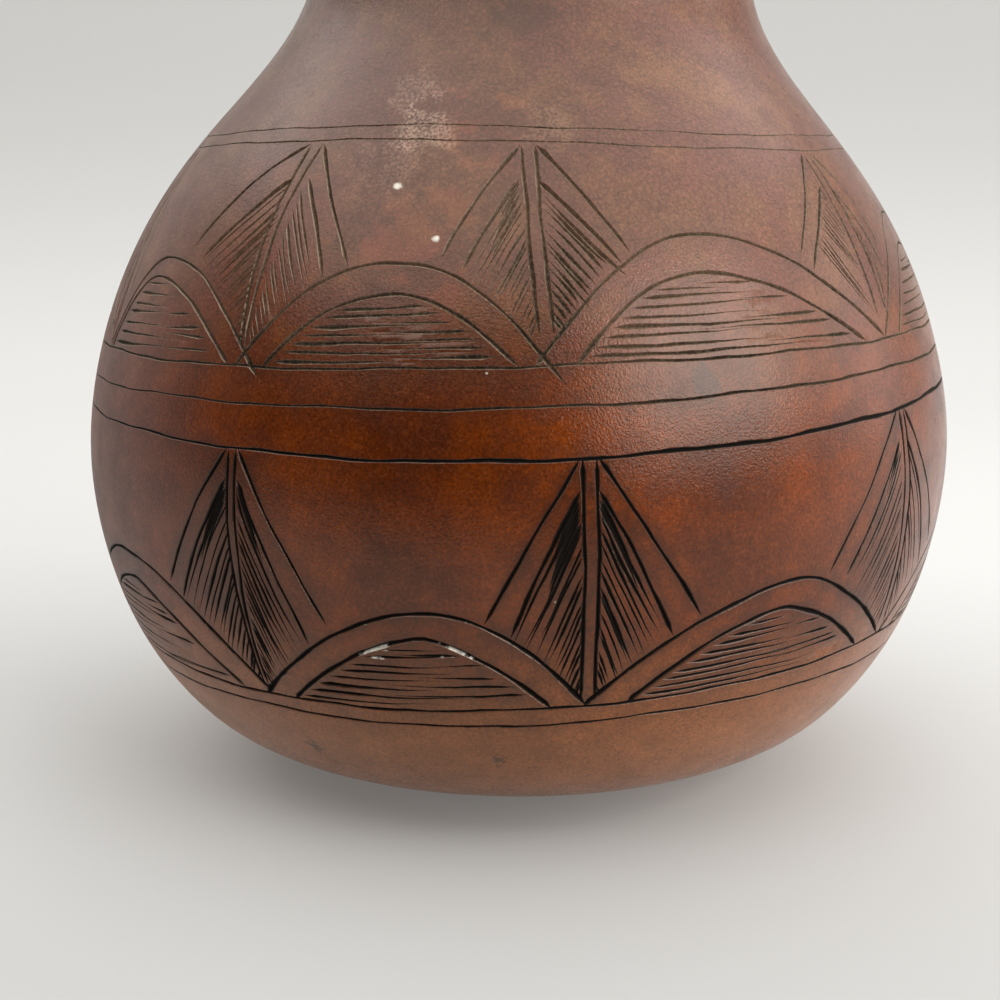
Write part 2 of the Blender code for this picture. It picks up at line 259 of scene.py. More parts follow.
UPPER = Register(
    base=UPPER_BASE,
    ceiling=NECK_LINES[1],
    arches=(
        Arch(Bow(-66.0, -54.5, -32.0, 115.0, 2.0, 2.35), Bow(-65.0, -55.5, -35.6, 111.4, 2.0, 2.0), 7, 2.6),
        Arch(Bow(-34.6, -14.0, 3.5, 115.8, 2.3, 2.05), Bow(-30.4, -14.4, 0.0, 110.4, 2.2, 1.9), 8, 4.2),
        Arch(Bow(1.9, 22.9, 51.7, 120.7, 1.95, 1.82), Bow(6.5, 22.5, 46.9, 114.0, 2.05, 1.75), 9),
        Arch(Bow(51.4, 72.0, 94.0, 123.0, 1.7, 2.0), Bow(55.6, 72.5, 89.5, 117.0, 1.8, 2.0)),
    ),
    points=(
        Point(
            tips=(-71.5, -69.8),
            roots=(-68.4, -66.8),
            legs=(Leg(-84.0, 1.5), Leg(-81.0, 1.0), Leg(-66.0, 3.5), Leg(-64.0, 4.0)),
            fans=(10, 5),
            ink=(0.5, 0.4),
        ),
        Point(
            tips=(-33.7, -31.6),
            roots=(-34.1, -33.5),
            legs=(Leg(-48.6, 2.7, 0.10), Leg(-45.6, 2.3, 0.045), Leg(-24.2, 0.3, 0.045), Leg(-21.0, 0.2)),
            fans=(17, 14),
            sway=0.035,
            ink=(0.9, 0.8),
            floor=2.6,
        ),
        Point(
            tips=(0.1, 2.1),
            roots=(2.4, 4.0),
            legs=(
                Leg(-9.5, 1.6, 0.05),
                Leg(-6.8, 1.4, 0.035),
                Leg(12.6, 0.2, 0.035),
                Leg(13.7, 1.2, 0.045),
            ),
            fans=(15, 14),
            ink=(0.65, 1.1),
            floor=4.5,
            inward=(False, True),
            clusters=(6, 0),
        ),
        Point(
            tips=(50.2, 52.1),
            roots=(50.9, 53.6),
            legs=(Leg(38.5, 2.0, 0.03), Leg(40.0, 0.4, 0.04), Leg(57.6, 0.2, 0.08), Leg(59.1, 2.4, 0.12)),
            fans=(13, 9),
            sway=-0.02,
            ink=(0.55, 0.6),
            floor=3.0,
            swept=True,
        ),
    ),
    hidden=4,
    band=5.4,
    drop=0.6,
    inner_drop=6.0,
    stain=0.25,
    weight=0.84,
)
LOWER = Register(
    base=LOWER_BASE,
    ceiling=BELT_LINES[2],
    arches=(
        Arch(Bow(-81.0, -58.5, -32.2, 57.0, 1.8, 2.1), Bow(-76.0, -56.5, -37.2, 51.5, 1.8, 1.4), 10),
        Arch(Bow(-33.5, -10.0, 8.3, 55.0, 1.68, 1.95), Bow(-29.0, -11.0, 4.2, 50.0, 1.45, 1.6), 9),
        Arch(Bow(7.9, 34.2, 54.6, 58.0, 1.85, 1.5), Bow(13.3, 32.2, 48.8, 52.8, 1.6, 1.5), 10),
        Arch(Bow(54.8, 76.0, 98.0, 59.0, 1.8, 1.9), Bow(59.0, 76.5, 93.5, 53.5, 1.7, 1.7), 9),
    ),
    points=(
        Point(
            tips=(-82.0, -80.4),
            roots=(-82.0, -80.5),
            legs=(Leg(-96.0, 1.2), Leg(-93.0, 0.8), Leg(-72.0, 0.8), Leg(-69.5, 1.6)),
        ),
        Point(
            tips=(-34.0, -32.9),
            roots=(-33.3, -32.7),
            legs=(Leg(-46.2, 1.4), Leg(-44.2, 0.0), Leg(-24.7, 0.8), Leg(-21.8, 2.0)),
            fans=(16, 16),
            sway=0.01,
            ink=(0.95, 0.95),
            floor=1.0,
            clusters=(4, 2),
        ),
        Point(
            tips=(6.8, 8.3),
            roots=(7.6, 9.2),
            legs=(Leg(-3.7, 0.4), Leg(-0.8, 0.5), Leg(17.8, 0.4), Leg(21.0, 0.8)),
            fans=(15, 15),
            ink=(1.05, 1.0),
            floor=0.6,
            clusters=(7, 3),
        ),
        Point(
            tips=(51.4, 52.5),
            roots=(53.4, 55.0),
            legs=(Leg(38.3, 1.1, 0.06), Leg(41.6, 2.0), Leg(63.0, 0.6), Leg(66.0, 1.5)),
            fans=(14, 9),
            sway=-0.02,
            ink=(0.8, 0.6),
            floor=1.5,
            clusters=(2, 0),
        ),
    ),
    hidden=4,
    band=5.2,
    drop=-0.2,
    inner_drop=5.5,
    stain=0.8,
    weight=1.08,
)


def turned(angle: float) -> float:
    """Gives the same angle between -180 and 180."""
    return (angle + 180.0) % 360.0 - 180.0


def ring_angles(sides: int) -> list[float]:
    """Gives the angles of a ring's points, from the flat ring's own start."""
    return [360.0 * i / sides + 90.0 for i in range(sides)]


def eased(share: np.ndarray) -> np.ndarray:
    """Cuts values to 0..1 and eases them at both ends."""
    cut = np.clip(share, 0.0, 1.0)
    return cut * cut * (3.0 - 2.0 * cut)


class Skin:
    """The outside as a surface of revolution, and the flat ring that it is unrolled onto.

    The flat ring keeps angles: a short line looks the same on it as on the gourd, only
    scaled, so the carving is laid out and meshed there.
    """

    OUTER = (
        (26.0, 0.0),
        (36.0, 2.2),
        (52.2, 6.0),
        (68.8, 12.5),
        (79.2, 22.5),
        (87.6, 36.5),
        (93.2, 54.5),
        (95.0, 74.0),
        (91.8, 94.5),
        (86.5, 110.0),
        (79.1, 124.0),
        (68.0, 139.0),
        (55.4, 154.0),
        (49.0, 165.0),
        (45.8, 178.0),
        (43.6, 190.0),
        (42.8, 202.0),
        (43.8, 212.0),
        (45.2, 218.0),
    )
    WIDEST_AT = 74.0
    LEAN_FROM = 142.0
    LEAN_EASE = 15.0
    LEAN_SLOPE = 0.09

    def __init__(self) -> None:
        """Works out the smooth profile and its unrolling."""
        self.radius, self.height = self.spline(self.OUTER, 0.2).T
        step = np.hypot(np.diff(self.radius), np.diff(self.height))
        self.length = np.concatenate([[0.0], np.cumsum(step)])
        middle = (self.radius[1:] + self.radius[:-1]) / 2.0
        spread = np.concatenate([[0.0], np.cumsum(step / middle)])
        self.flat = np.exp(spread - np.interp(self.WIDEST_AT, self.height, spread))
        self.out = np.stack(
            [np.gradient(self.height, self.length), -np.gradient(self.radius, self.length)], axis=1
        )

    @staticmethod
    def spline(points: tuple[tuple[float, float], ...], step: float) -> np.ndarray:
        """Draws a smooth curve that starts level and passes through all points.

        Args:
            points: Radius and height of each point.
            step: Distance between the points that come back.

        Returns:
            Radius and height along the curve, one row each.
        """
        knots = np.array(points)
        chord = np.concatenate([[0.0], np.cumsum(np.hypot(*np.diff(knots, axis=0).T))])
        gap = np.diff(chord)
        count = len(knots)
        system = np.zeros((count, count))
        right = np.zeros((count, 2))
        slope = np.diff(knots, axis=0) / gap[:, None]
        system[0, :2] = (2.0 * gap[0], gap[0])
        right[0] = 6.0 * (slope[0] - np.array((1.0, 0.0)))
        for i in range(1, count - 1):
            system[i, i - 1 : i + 2] = (gap[i - 1], 2.0 * (gap[i - 1] + gap[i]), gap[i])
            right[i] = 6.0 * (slope[i] - slope[i - 1])
        system[-1, -1] = 1.0
        bend = np.linalg.solve(system, right)
        along = np.linspace(0.0, chord[-1], int(chord[-1] / step))
        i = np.clip(np.searchsorted(chord, along, side="right") - 1, 0, count - 2)
        span = gap[i][:, None]
        after = (along - chord[i])[:, None]
        before = span - after
        return (
            (bend[i] * before**3 + bend[i + 1] * after**3) / (6.0 * span)
            + (knots[i] / span - bend[i] * span / 6.0) * before
            + (knots[i + 1] / span - bend[i + 1] * span / 6.0) * after
        )

    def along(self, height: float) -> float:
        """Gives the length of the profile up to a height."""
        return float(np.interp(height, self.height, self.length))

    def spot(self, along: float) -> tuple[float, float]:
        """Gives radius and height of the profile at a length."""
        radius = float(np.interp(along, self.length, self.radius))
        return radius, float(np.interp(along, self.length, self.height))

    def inside(self, along: float, wall: float) -> tuple[float, float]:
        """Finds a point of the inner wall's profile.

        Args:
            along: Length of the outer profile up to the place.
            wall: The wall's thickness.

        Returns:
            Radius and height.
        """
        radius, height = self.spot(along)
        aside = float(np.interp(along, self.length, self.out[:, 0]))
        upward = float(np.interp(along, self.length, self.out[:, 1]))
        return radius - wall * aside, height - wall * upward

    def place(self, angle: float, height: float) -> np.ndarray:
        """Lays a point of the outside on the flat ring.

        Args:
            angle: Angle round the gourd.
            height: Height on the gourd.

        Returns:
            The spot on the flat ring.
        """
        turn = math.radians(angle - 90.0)
        reach = float(np.interp(height, self.height, self.flat))
        return np.array((math.cos(turn), math.sin(turn))) * reach

    def scale(self, spots: np.ndarray) -> np.ndarray:
        """Gives the millimetres on the gourd for one unit of the flat ring, at each spot."""
        reach = np.hypot(spots[:, 0], spots[:, 1])
        return np.interp(reach, self.flat, self.radius) / reach

    def raise_up(self, spots: np.ndarray, depth: np.ndarray) -> np.ndarray:
        """Raises spots of the flat ring onto the gourd.

        Args:
            spots: Spots of the flat ring.
            depth: How far each is sunk into the skin.

        Returns:
            The points in millimetres.
        """
        reach = np.hypot(spots[:, 0], spots[:, 1])
        radius = np.interp(reach, self.flat, self.radius)
        height = np.interp(reach, self.flat, self.height)
        aside = np.interp(reach, self.flat, self.out[:, 0])
        upward = np.interp(reach, self.flat, self.out[:, 1])
        sunk = radius - depth * aside
        return np.column_stack([spots / reach[:, None] * sunk[:, None], height - depth * upward])

    def lean(self, height: float) -> float:
        """Gives how far the axis is to the right at a height."""
        above = height - self.LEAN_FROM
        return self.LEAN_SLOPE * (math.hypot(above, self.LEAN_EASE) + above) / 2.0


class Stroke:
    """One knife cut along a line of the unrolled skin."""

    WOBBLE = ((38.0, 0.16, 0.10), (15.0, 0.08, 0.12), (7.0, 0.03, 0.10))
    ROUND = 6.28
    STEADY_ENDS = (0.3, 4.0)
    FULL_SHAKE_AT = 40.0
    WIDTH_FADE = 0.8
    THINNEST = 1e-4
    FULL_INK_AT = 0.16
    HEEL_LENGTH = 7.0
    STAIN_REACH = 1.0
    FULL_STAIN_AT = 0.4
    WALL_REACH = 1.1

    def __init__(
        self,
        skin: Skin,
        spots: np.ndarray,
        blade: Blade,
        draw: random.Random,
        size: float | np.ndarray = 1.0,
        closed: bool = False,
        stain: float = 0.0,
    ) -> None:
        """Makes the cut's line, widths and depths.

        Args:
            skin: The gourd's skin.
            spots: The line, on the flat ring.
            blade: How the cut is made.
            draw: The seeded random draw.
            size: Scales the width and the depth.
            closed: Whether the line runs right round.
            stain: How dark the skin is along the cut.
        """
        self.closed = closed
        self.stain = stain
        scale = skin.scale(spots)
        step = np.hypot(*np.diff(spots, axis=0).T) * scale[1:]
        run = np.concatenate([[0.0], np.cumsum(step)])
        whole = run[-1] + (step.mean() if closed else 0.0)
        side = self.across(spots)
        shake = np.zeros(len(spots))
        press = np.ones(len(spots))
        for length, amount, pressing in self.WOBBLE:
            turns = max(round(whole / length), 1) if closed else whole / length
            phase = run / whole * turns * 2.0 * math.pi + draw.uniform(0.0, self.ROUND)
            shake += amount * np.sin(phase)
            press += pressing * np.sin(phase + draw.uniform(0.0, self.ROUND))
        if not closed:
            share, least = self.STEADY_ENDS
            ends = np.minimum(run, whole - run) / max(whole * share, least)
            shake *= np.clip(ends, 0.0, 1.0) * min(whole / self.FULL_SHAKE_AT, 1.0)
        self.spots = spots + side * (shake / scale)[:, None]
        fade = np.ones(len(spots))
        if not closed:
            opening = eased(run / min(blade.ramp, whole * 0.5))
            closing = eased((whole - run) / max(blade.tail * whole, 1.0))
            fade = opening * closing
            press *= 1.0 + blade.heel * np.exp(-np.minimum(run, whole - run) / self.HEEL_LENGTH)
        self.half = blade.width / 2.0 * size * press * fade**self.WIDTH_FADE
        self.depth = blade.depth * size * press * fade
        self.ink = blade.ink * eased(self.half / self.FULL_INK_AT)

    def across(self, spots: np.ndarray) -> np.ndarray:
        """Finds which way is square to the line.

        Args:
            spots: The line, on the flat ring.

        Returns:
            A unit vector for each spot.
        """
        if self.closed:
            along = np.roll(spots, -1, axis=0) - np.roll(spots, 1, axis=0)
        else:
            along = np.gradient(spots, axis=0)
        along = along / np.hypot(along[:, 0], along[:, 1])[:, None]
        return np.stack([-along[:, 1], along[:, 0]], axis=1)

    def lines(self, skin: Skin) -> list[np.ndarray]:
        """Lays out the groove.

        Args:
            skin: The gourd's skin.

        Returns:
            Its bottom and its two edges, on the flat ring.
        """
        side = self.across(self.spots)
        reach = (self.half / skin.scale(self.spots))[:, None]
        lines = [self.spots]
        for way in (reach, -reach):
            edge = self.spots + side * way
            if not self.closed:
                edge = np.concatenate([self.spots[:1], edge[1:-1], self.spots[-1:]])
            lines.append(edge)
        return lines

    def near(self, spots: np.ndarray, margin: float) -> np.ndarray:
        """Finds the spots that lie in the box round the line.

        Args:
            spots: Spots of the flat ring.
            margin: How much larger the box is.

        Returns:
            Their numbers.
        """
        low = self.spots.min(axis=0) - margin
        high = self.spots.max(axis=0) + margin
        return np.flatnonzero(np.all((spots > low) & (spots < high), axis=1))

    def sink(
        self, spots: np.ndarray, scale: np.ndarray
    ) -> tuple[np.ndarray, np.ndarray, np.ndarray, np.ndarray]:
        """Works out what the cut does at each spot.

        Args:
            spots: Spots of the flat ring.
            scale: Millimetres for one unit of the flat ring at each.

        Returns:
            The depth in millimetres, the ink, 0 at the upper edge to 1 at the lower one, and
            how much soot is rubbed into the skin.
        """
        depth, ink, stain = np.zeros((3, len(spots)))
        lower = np.full(len(spots), -1.0)
        nearest = np.full(len(spots), np.inf)
        reach = np.hypot(spots[:, 0], spots[:, 1])
        for i, j, part, line, gap in self.pieces(spots, scale):
            half, deep, dark = (
                ends[i] + part * (ends[j] - ends[i]) for ends in (self.half, self.depth, self.ink)
            )
            half = np.maximum(half, self.THINNEST)
            share = np.clip(1.0 - gap / half, 0.0, 1.0)
            depth = np.maximum(depth, share * deep)
            ink = np.maximum(ink, share * dark)
            rubbed = np.clip(1.0 - (gap - half) / self.STAIN_REACH, 0.0, 1.0)
            strength = self.stain * np.minimum(half / self.FULL_STAIN_AT, 1.0)
            stain = np.maximum(stain, rubbed * strength)
            below = np.sign(np.hypot(line[:, 0], line[:, 1]) - reach)
            closer = (gap < self.WALL_REACH * half) & (gap < nearest)
            lower = np.where(closer, 0.5 + 0.5 * below * np.minimum(gap / half, 1.0), lower)
            nearest = np.where(closer, gap, nearest)
        return depth, ink, lower, stain

    def clear_of(self, spots: np.ndarray, scale: np.ndarray, gap: float) -> np.ndarray:
        """Tells which spots are well away from the line.

        Args:
            spots: Spots of the flat ring.
            scale: Millimetres for one unit of the flat ring at each.
            gap: How many millimetres is well away.

        Returns:
            Whether each is.
        """
        clear = np.ones(len(spots), bool)
        for *_, away in self.pieces(spots, scale):
            clear &= away > gap
        return clear

    def pieces(self, spots: np.ndarray, scale: np.ndarray) -> Iterator[tuple]:
        """Sets spots against each straight piece of the line in turn.

        Args:
            spots: Spots of the flat ring.
            scale: Millimetres for one unit of the flat ring at each.

        Yields:
            The numbers of the piece's two ends; and for each spot how far along the piece its
            nearest point is, that point, and the distance to it in millimetres.
        """
        count = len(self.spots)
        for i in range(count if self.closed else count - 1):
            j = (i + 1) % count
            run = self.spots[j] - self.spots[i]
            off = spots - self.spots[i]
            part = np.clip(off @ run / (run @ run), 0.0, 1.0)
            ahead = part[:, None] * run
            yield i, j, part, self.spots[i] + ahead, np.hypot(*(off - ahead).T) * scale


class Carver:
    """Lays out every cut of the gourd on its unrolled skin.

    A pair of values is the least and the most that a seeded draw gives, and most are shares
    of the length, the pitch or the width of the motif.
    """

    SEED = 23
    NECK_STAIN = 0.3
    FEWEST_PIECES = 3
    # Arches: the millimetres that a degree is taken for, and how many more points a line has.
    ARCH_DEGREE = 1.6
    ARCH_MORE = 14
    INNER_WEIGHT = 1.08
    # The hatching inside an arch, cut in rows from its left and, less often, its right side.
    ROW_DEGREE = 1.55
    ROW_SPARE = 0.4
    ROW_START = 0.75
    ROW_SHAKE = (-0.12, 0.12)
    ROW_HIGHEST = 0.95
    ROW_SHORTEST = 0.28
    LEFT_ROW_INSET = 0.5
    RIGHT_ROW_INSET = (0.4, 1.6)
    ROW_REACH = {Side.LEFT: (0.62, 0.95), Side.RIGHT: (0.35, 0.75)}
    ROW_DRIFT = {Side.LEFT: (-0.1, 0.4), Side.RIGHT: (-0.5, 0.3)}
    ROW_SIZE = {Side.LEFT: (0.65, 1.2), Side.RIGHT: (0.65, 1.0)}
    RIGHT_ROWS = 0.65
    RIGHT_ROW_LIFT = 0.42
    # A triangle's legs, and the extra cuts beside their tops.
    LEG_ASIDE = 0.15
    INNER_LEG_WEIGHT = 1.1
    CLUSTER_STEP = 0.9
    CLUSTER_SHAKE = (0.6, 1.2)
    CLUSTER_REACH = (0.35, 0.62)
    CLUSTER_LEAN = 0.9
    CLUSTER_SIZE = (0.9, 1.4)
    # The fans, which start along the rib and grow steeper and run down until they meet the arch.
    FAN_BELOW = 0.8
    FAN_LAST = 0.93
    FAN_ASIDE = 0.1
    FAN_SHAKE = (0.3, 0.8)
    FAN_LENGTH = (0.88, 1.12)
    FAN_BULGE = (-0.01, 0.03)
    FAN_SIZE = (0.6, 1.2)
    STEEPEN = 0.35
    REACH_FROM = 0.1
    REACH_STEP = 0.02
    # A fan that runs from the leg down to the rib.
    SWEPT_SHARE = 0.7
    SWEPT_START = 0.06
    SWEPT_DOWN = (0.25, 0.4)
    SWEPT_LAST = 0.97
    # The motifs of the far side.
    FAR_CROWN = (-0.05, 0.05)
    FAR_TOP = (-2.0, 2.0)
    FAR_TIP = (-1.5, 1.5)
    FAR_GAP = (0.2, 1.8)
    FAR_ROWS = 9
    FAR_OVERLAP = 0.8
    FAR_BAND = 3.6
    FAR_CROWN_SHIFT = 0.3
    FAR_LEGS = (-0.31, -0.25, 0.25, 0.31)
    FAR_RIB = (0.9, 0.8)
    FAR_OUTER = (1.9, 1.95)
    FAR_INNER = (1.8, 1.8)

    def __init__(self, skin: Skin, sides: int) -> None:
        """Starts with no cuts.

        Args:
            skin: The gourd's skin.
            sides: How many points a ring line has.
        """
        self.skin = skin
        self.sides = sides
        self.draw = random.Random(self.SEED)
        self.strokes: list[Stroke] = []
        self.stain = self.NECK_STAIN

    def carve(self) -> list[Stroke]:
        """Makes all the cuts.

        Returns:
            The cuts, ring lines first.
        """
        for ring in NECK_LINES + BELT_LINES + FOOT_LINES:
            self.ring(ring)
        for register in (UPPER, LOWER):
            self.stain = register.stain
            arches, points = self.all_round(register)
            for arch in arches:
                self.arch(arch, register)
            for point in points:
                self.point(point, arches, register)
        return self.strokes

    def add(
        self,
        spots: list[np.ndarray],
        knife: Knife,
        size: float | np.ndarray = 1.0,
        closed: bool = False,
    ) -> None:
        """Adds one cut along spots of the flat ring."""
        line = np.array(spots)
        self.strokes.append(Stroke(self.skin, line, knife.value, self.draw, size, closed, self.stain))

    def ring(self, ring: Ring) -> None:
        """Cuts a line right round the gourd.

        Args:
            ring: The line.
        """
        angles = ring_angles(self.sides)
        spots = [self.skin.place(angle, ring.at(angle)) for angle in angles]
        sizes = np.array([ring.size(angle) for angle in angles])
        self.add(spots, ring.knife, sizes, closed=True)

    def straight(
        self,
        start: tuple[float, float],
        end: tuple[float, float],
        knife: Knife,
        bulge: float = 0.0,
        size: float = 1.0,
    ) -> None:
        """Makes a nearly straight cut.

        Args:
            start: Angle and height of its start.
            end: Angle and height of its end.
            knife: The kind of cut.
            bulge: How far it bows to its left, as a share of its length.
            size: Scales the width and the depth.
        """
        first = self.skin.place(*start)
        last = self.skin.place(*end)
        run = last - first
        length = float(np.hypot(*run) * self.skin.scale(np.array([(first + last) / 2.0]))[0])
        count = max(int(math.ceil(length / knife.value.step)), self.FEWEST_PIECES)
        side = np.array((-run[1], run[0])) * bulge
        shares = [i / count for i in range(count + 1)]
        spots = [first + run * share + side * 4.0 * share * (1.0 - share) for share in shares]
        self.add(spots, knife, size)

    def bow(self, bow: Bow, base: Ring, size: float, over: float = 0.0) -> None:
        """Cuts one curved line of an arch.

        Args:
            bow: The line.
            base: The ring line that it stands on.
            size: Scales the width and the depth.
            over: How far its right foot runs on past the base.
        """
        count = int((bow.right - bow.left) * self.ARCH_DEGREE / Knife.ARCH.value.step) + self.ARCH_MORE
        spots = []
        for i in range(count + 1):
            turn = math.pi * i / count
            angle = bow.crown - math.cos(turn) * (bow.crown - bow.left)
            if angle > bow.crown:
                angle = bow.crown - math.cos(turn) * (bow.right - bow.crown)
            spots.append(self.skin.place(angle, bow.at(angle, base)))
        if over:
            step = spots[-1] - spots[-4]
            step *= over / 3.0 / (np.hypot(*step) * self.skin.scale(spots[-1][None])[0])
            spots.extend([spots[-1] + step * i for i in (1, 2, 3)])
        self.add(spots, Knife.ARCH, size)

    def arch(self, arch: Arch, register: Register) -> None:
        """Cuts an arch: its two lines, and rows of cuts that thin out from both ends.

        Args:
            arch: The arch.
            register: The band of carving that it is in.
        """
        self.bow(arch.outer, register.base, register.weight, arch.over)
        self.bow(arch.inner, register.base, register.weight * self.INNER_WEIGHT)
        full = arch.inner.top - register.base.at(arch.inner.crown)
        pitch = full / (arch.rows + self.ROW_SPARE)
        for row in range(arch.rows):
            lift = pitch * (row + self.ROW_START) + self.draw.uniform(*self.ROW_SHAKE) * pitch
            for side in Side:
                if side is Side.LEFT or self.draw.random() < self.RIGHT_ROWS:
                    self.row(arch.inner, register.base, lift, pitch, side)

    def row(self, bow: Bow, base: Ring, lift: float, pitch: float, side: Side) -> None:
        """Makes one cut of the hatching inside an arch.

        Args:
            bow: The arch's inner line.
            base: The ring line that it stands on.
            lift: How far over the base the cut is.
            pitch: The distance between rows.
            side: The side that it is cut from.
        """
        offset = 0.0 if side is Side.LEFT else self.RIGHT_ROW_LIFT * pitch
        rise = min(lift + offset, (bow.top - base.at(bow.crown)) * self.ROW_HIGHEST)
        left = bow.edge(Side.LEFT, rise, base)
        right = bow.edge(Side.RIGHT, rise, base)
        if right - left < self.ROW_SHORTEST * (bow.right - bow.left):
            return
        reach = self.draw.uniform(*self.ROW_REACH[side])
        if side is Side.LEFT:
            start, end = left + self.LEFT_ROW_INSET, left + (right - left) * reach
        else:
            start, end = right - self.draw.uniform(*self.RIGHT_ROW_INSET), right - (right - left) * reach
        drift = self.draw.uniform(*self.ROW_DRIFT[side]) * pitch
        count = max(int(abs(end - start) * self.ROW_DEGREE / Knife.ROW.value.step), self.FEWEST_PIECES)
        spots = []
        for i in range(count + 1):
            share = i / count
            angle = start + (end - start) * share
            spots.append(self.skin.place(angle, base.at(angle) + rise + drift * share))
        self.add(spots, Knife.ROW, self.draw.uniform(*self.ROW_SIZE[side]))

    def point(self, point: Point, arches: list[Arch], register: Register) -> None:
        """Cuts a triangle: its double rib, its two double legs and a fan on each side.

        Args:
            point: The triangle.
            arches: All the arches of its band.
            register: The band of carving that it is in.
        """
        middle = sum(point.roots) / 2.0
        bows = {
            Side.LEFT: self.nearest(arches, middle, Side.RIGHT),
            Side.RIGHT: self.nearest(arches, middle, Side.LEFT),
        }
        top = register.ceiling.at(sum(point.tips) / 2.0) - register.drop
        foot = register.base.at(middle) + point.floor
        weight = (1.0 + sum(point.ink) / 2.0) / 2.0
        for tip, root in zip(point.tips, point.roots):
            self.straight((tip, top), (root, foot), Knife.RIB, point.sway, weight)
        for i, leg in enumerate(point.legs):
            side = Side.LEFT if i < 2 else Side.RIGHT
            inner = i in (1, 2)
            tip = point.tips[0 if side is Side.LEFT else 1]
            start = (tip + side.value * self.LEG_ASIDE, top - (register.inner_drop if inner else 0.0))
            end = (leg.foot, bows[side].at(leg.foot, register.base) + leg.gap)
            bulge = -side.value * leg.bulge
            heavier = self.INNER_LEG_WEIGHT if inner else 1.0
            self.straight(start, end, Knife.LEG, bulge, weight * heavier)
            for extra in range(point.clusters[i - 1] if inner else 0):
                low = start[1] - self.CLUSTER_STEP * (extra + self.draw.uniform(*self.CLUSTER_SHAKE))
                share = self.draw.uniform(*self.CLUSTER_REACH)
                lean = (leg.foot - tip) * share * self.CLUSTER_LEAN
                stop = (tip + lean, low + (end[1] - start[1]) * share)
                size = self.draw.uniform(*self.CLUSTER_SIZE)
                self.straight((start[0], low), stop, Knife.FAN, bulge, size)
        for side in Side:
            self.fan(point, side, bows[side], top, register)

    def fan(self, point: Point, side: Side, bow: Bow, top: float, register: Register) -> None:
        """Makes the cuts between a triangle's rib and its inner leg.

        Args:
            point: The triangle.
            side: Which half of it.
            bow: The outer line of the arch on that side.
            top: The height of the triangle's tip.
            register: The band of carving that it is in.
        """
        index = 0 if side is Side.LEFT else 1
        count = point.fans[index]
        leg = point.legs[1 if side is Side.LEFT else 2]
        tip, root = point.tips[index], point.roots[index]
        base = register.base
        foot = base.at(root) + point.floor
        first = (register.inner_drop + self.FAN_BELOW) / (top - foot)
        leg_top = top - register.inner_drop
        leg_rise = bow.at(leg.foot, base) + leg.gap - leg_top
        for i in range(count):
            share = (i + self.draw.uniform(*self.FAN_SHAKE)) / count
            down = first + (self.FAN_LAST - first) * share
            aside = tip + (root - tip) * down + side.value * self.FAN_ASIDE
            start = (aside, top + (foot - top) * down)
            lean = (leg.foot - tip) * (1.0 - self.STEEPEN * share)
            reach = self.REACH_FROM
            while reach < 1.0 and start[1] + leg_rise * reach > bow.at(start[0] + lean * reach, base):
                reach += self.REACH_STEP
            reach *= self.draw.uniform(*self.FAN_LENGTH)
            end = (start[0] + lean * reach, start[1] + leg_rise * reach)
            if point.swept:
                down = share * self.SWEPT_SHARE
                start = (tip + (leg.foot - tip) * (down + self.SWEPT_START), leg_top + leg_rise * down)
                down = min(down + self.draw.uniform(*self.SWEPT_DOWN), self.SWEPT_LAST)
                end = (tip + (root - tip) * down, top + (foot - top) * down)
            bulge = -side.value * self.draw.uniform(*self.FAN_BULGE)
            size = point.ink[index] * self.draw.uniform(*self.FAN_SIZE)
            if point.inward[index]:
                start, end, bulge = end, start, -bulge
            self.straight(start, end, Knife.FAN, bulge, size)

    def nearest(self, arches: list[Arch], angle: float, side: Side) -> Bow:
        """Finds the arch that has an end nearest to an angle.

        Args:
            arches: All the arches of the band.
            angle: The angle.
            side: Which end of the arches.

        Returns:
            Its outer line, turned to that angle.
        """

        def gap(bow: Bow) -> float:
            """Gives how far the end of a line is from the angle."""
            return abs(turned((bow.right if side is Side.RIGHT else bow.left) - angle))

        bow = min((arch.outer for arch in arches), key=gap)
        return bow.moved(round((angle - bow.crown) / 360.0) * 360.0)

    def all_round(self, register: Register) -> tuple[list[Arch], list[Point]]:
        """Takes the near motifs and adds those of the far side by the same rule.

        Args:
            register: The band of carving.

        Returns:
            All its arches and all its triangles.
        """
        arches = list(register.arches)
        points = list(register.points)
        first, last = arches[0].outer, arches[-1].outer
        width = (360.0 + first.left - last.right) / register.hidden
        tops = [arch.outer.top for arch in arches]
        for i in range(register.hidden):
            left = last.right + i * width
            right = left + width
            crown = left + width * (0.5 + self.draw.uniform(*self.FAR_CROWN))
            top = sum(tops) / len(tops) + self.draw.uniform(*self.FAR_TOP)
            outer = Bow(left - self.FAR_OVERLAP, crown, right + self.FAR_OVERLAP, top, *self.FAR_OUTER)
            crown += self.FAR_CROWN_SHIFT
            low = top - register.band
            inner = Bow(left + self.FAR_BAND, crown, right - self.FAR_BAND, low, *self.FAR_INNER)
            arches.append(Arch(outer, inner, self.FAR_ROWS))
        for i in range(register.hidden):
            root = last.right + i * width
            tip = root + self.draw.uniform(*self.FAR_TIP)
            legs = tuple(
                Leg(tip + width * share, self.draw.uniform(*self.FAR_GAP)) for share in self.FAR_LEGS
            )
            ends = [(at - half, at + half) for at, half in zip((tip, root), self.FAR_RIB)]
            points.append(Point(*ends, legs))
        return arches, points


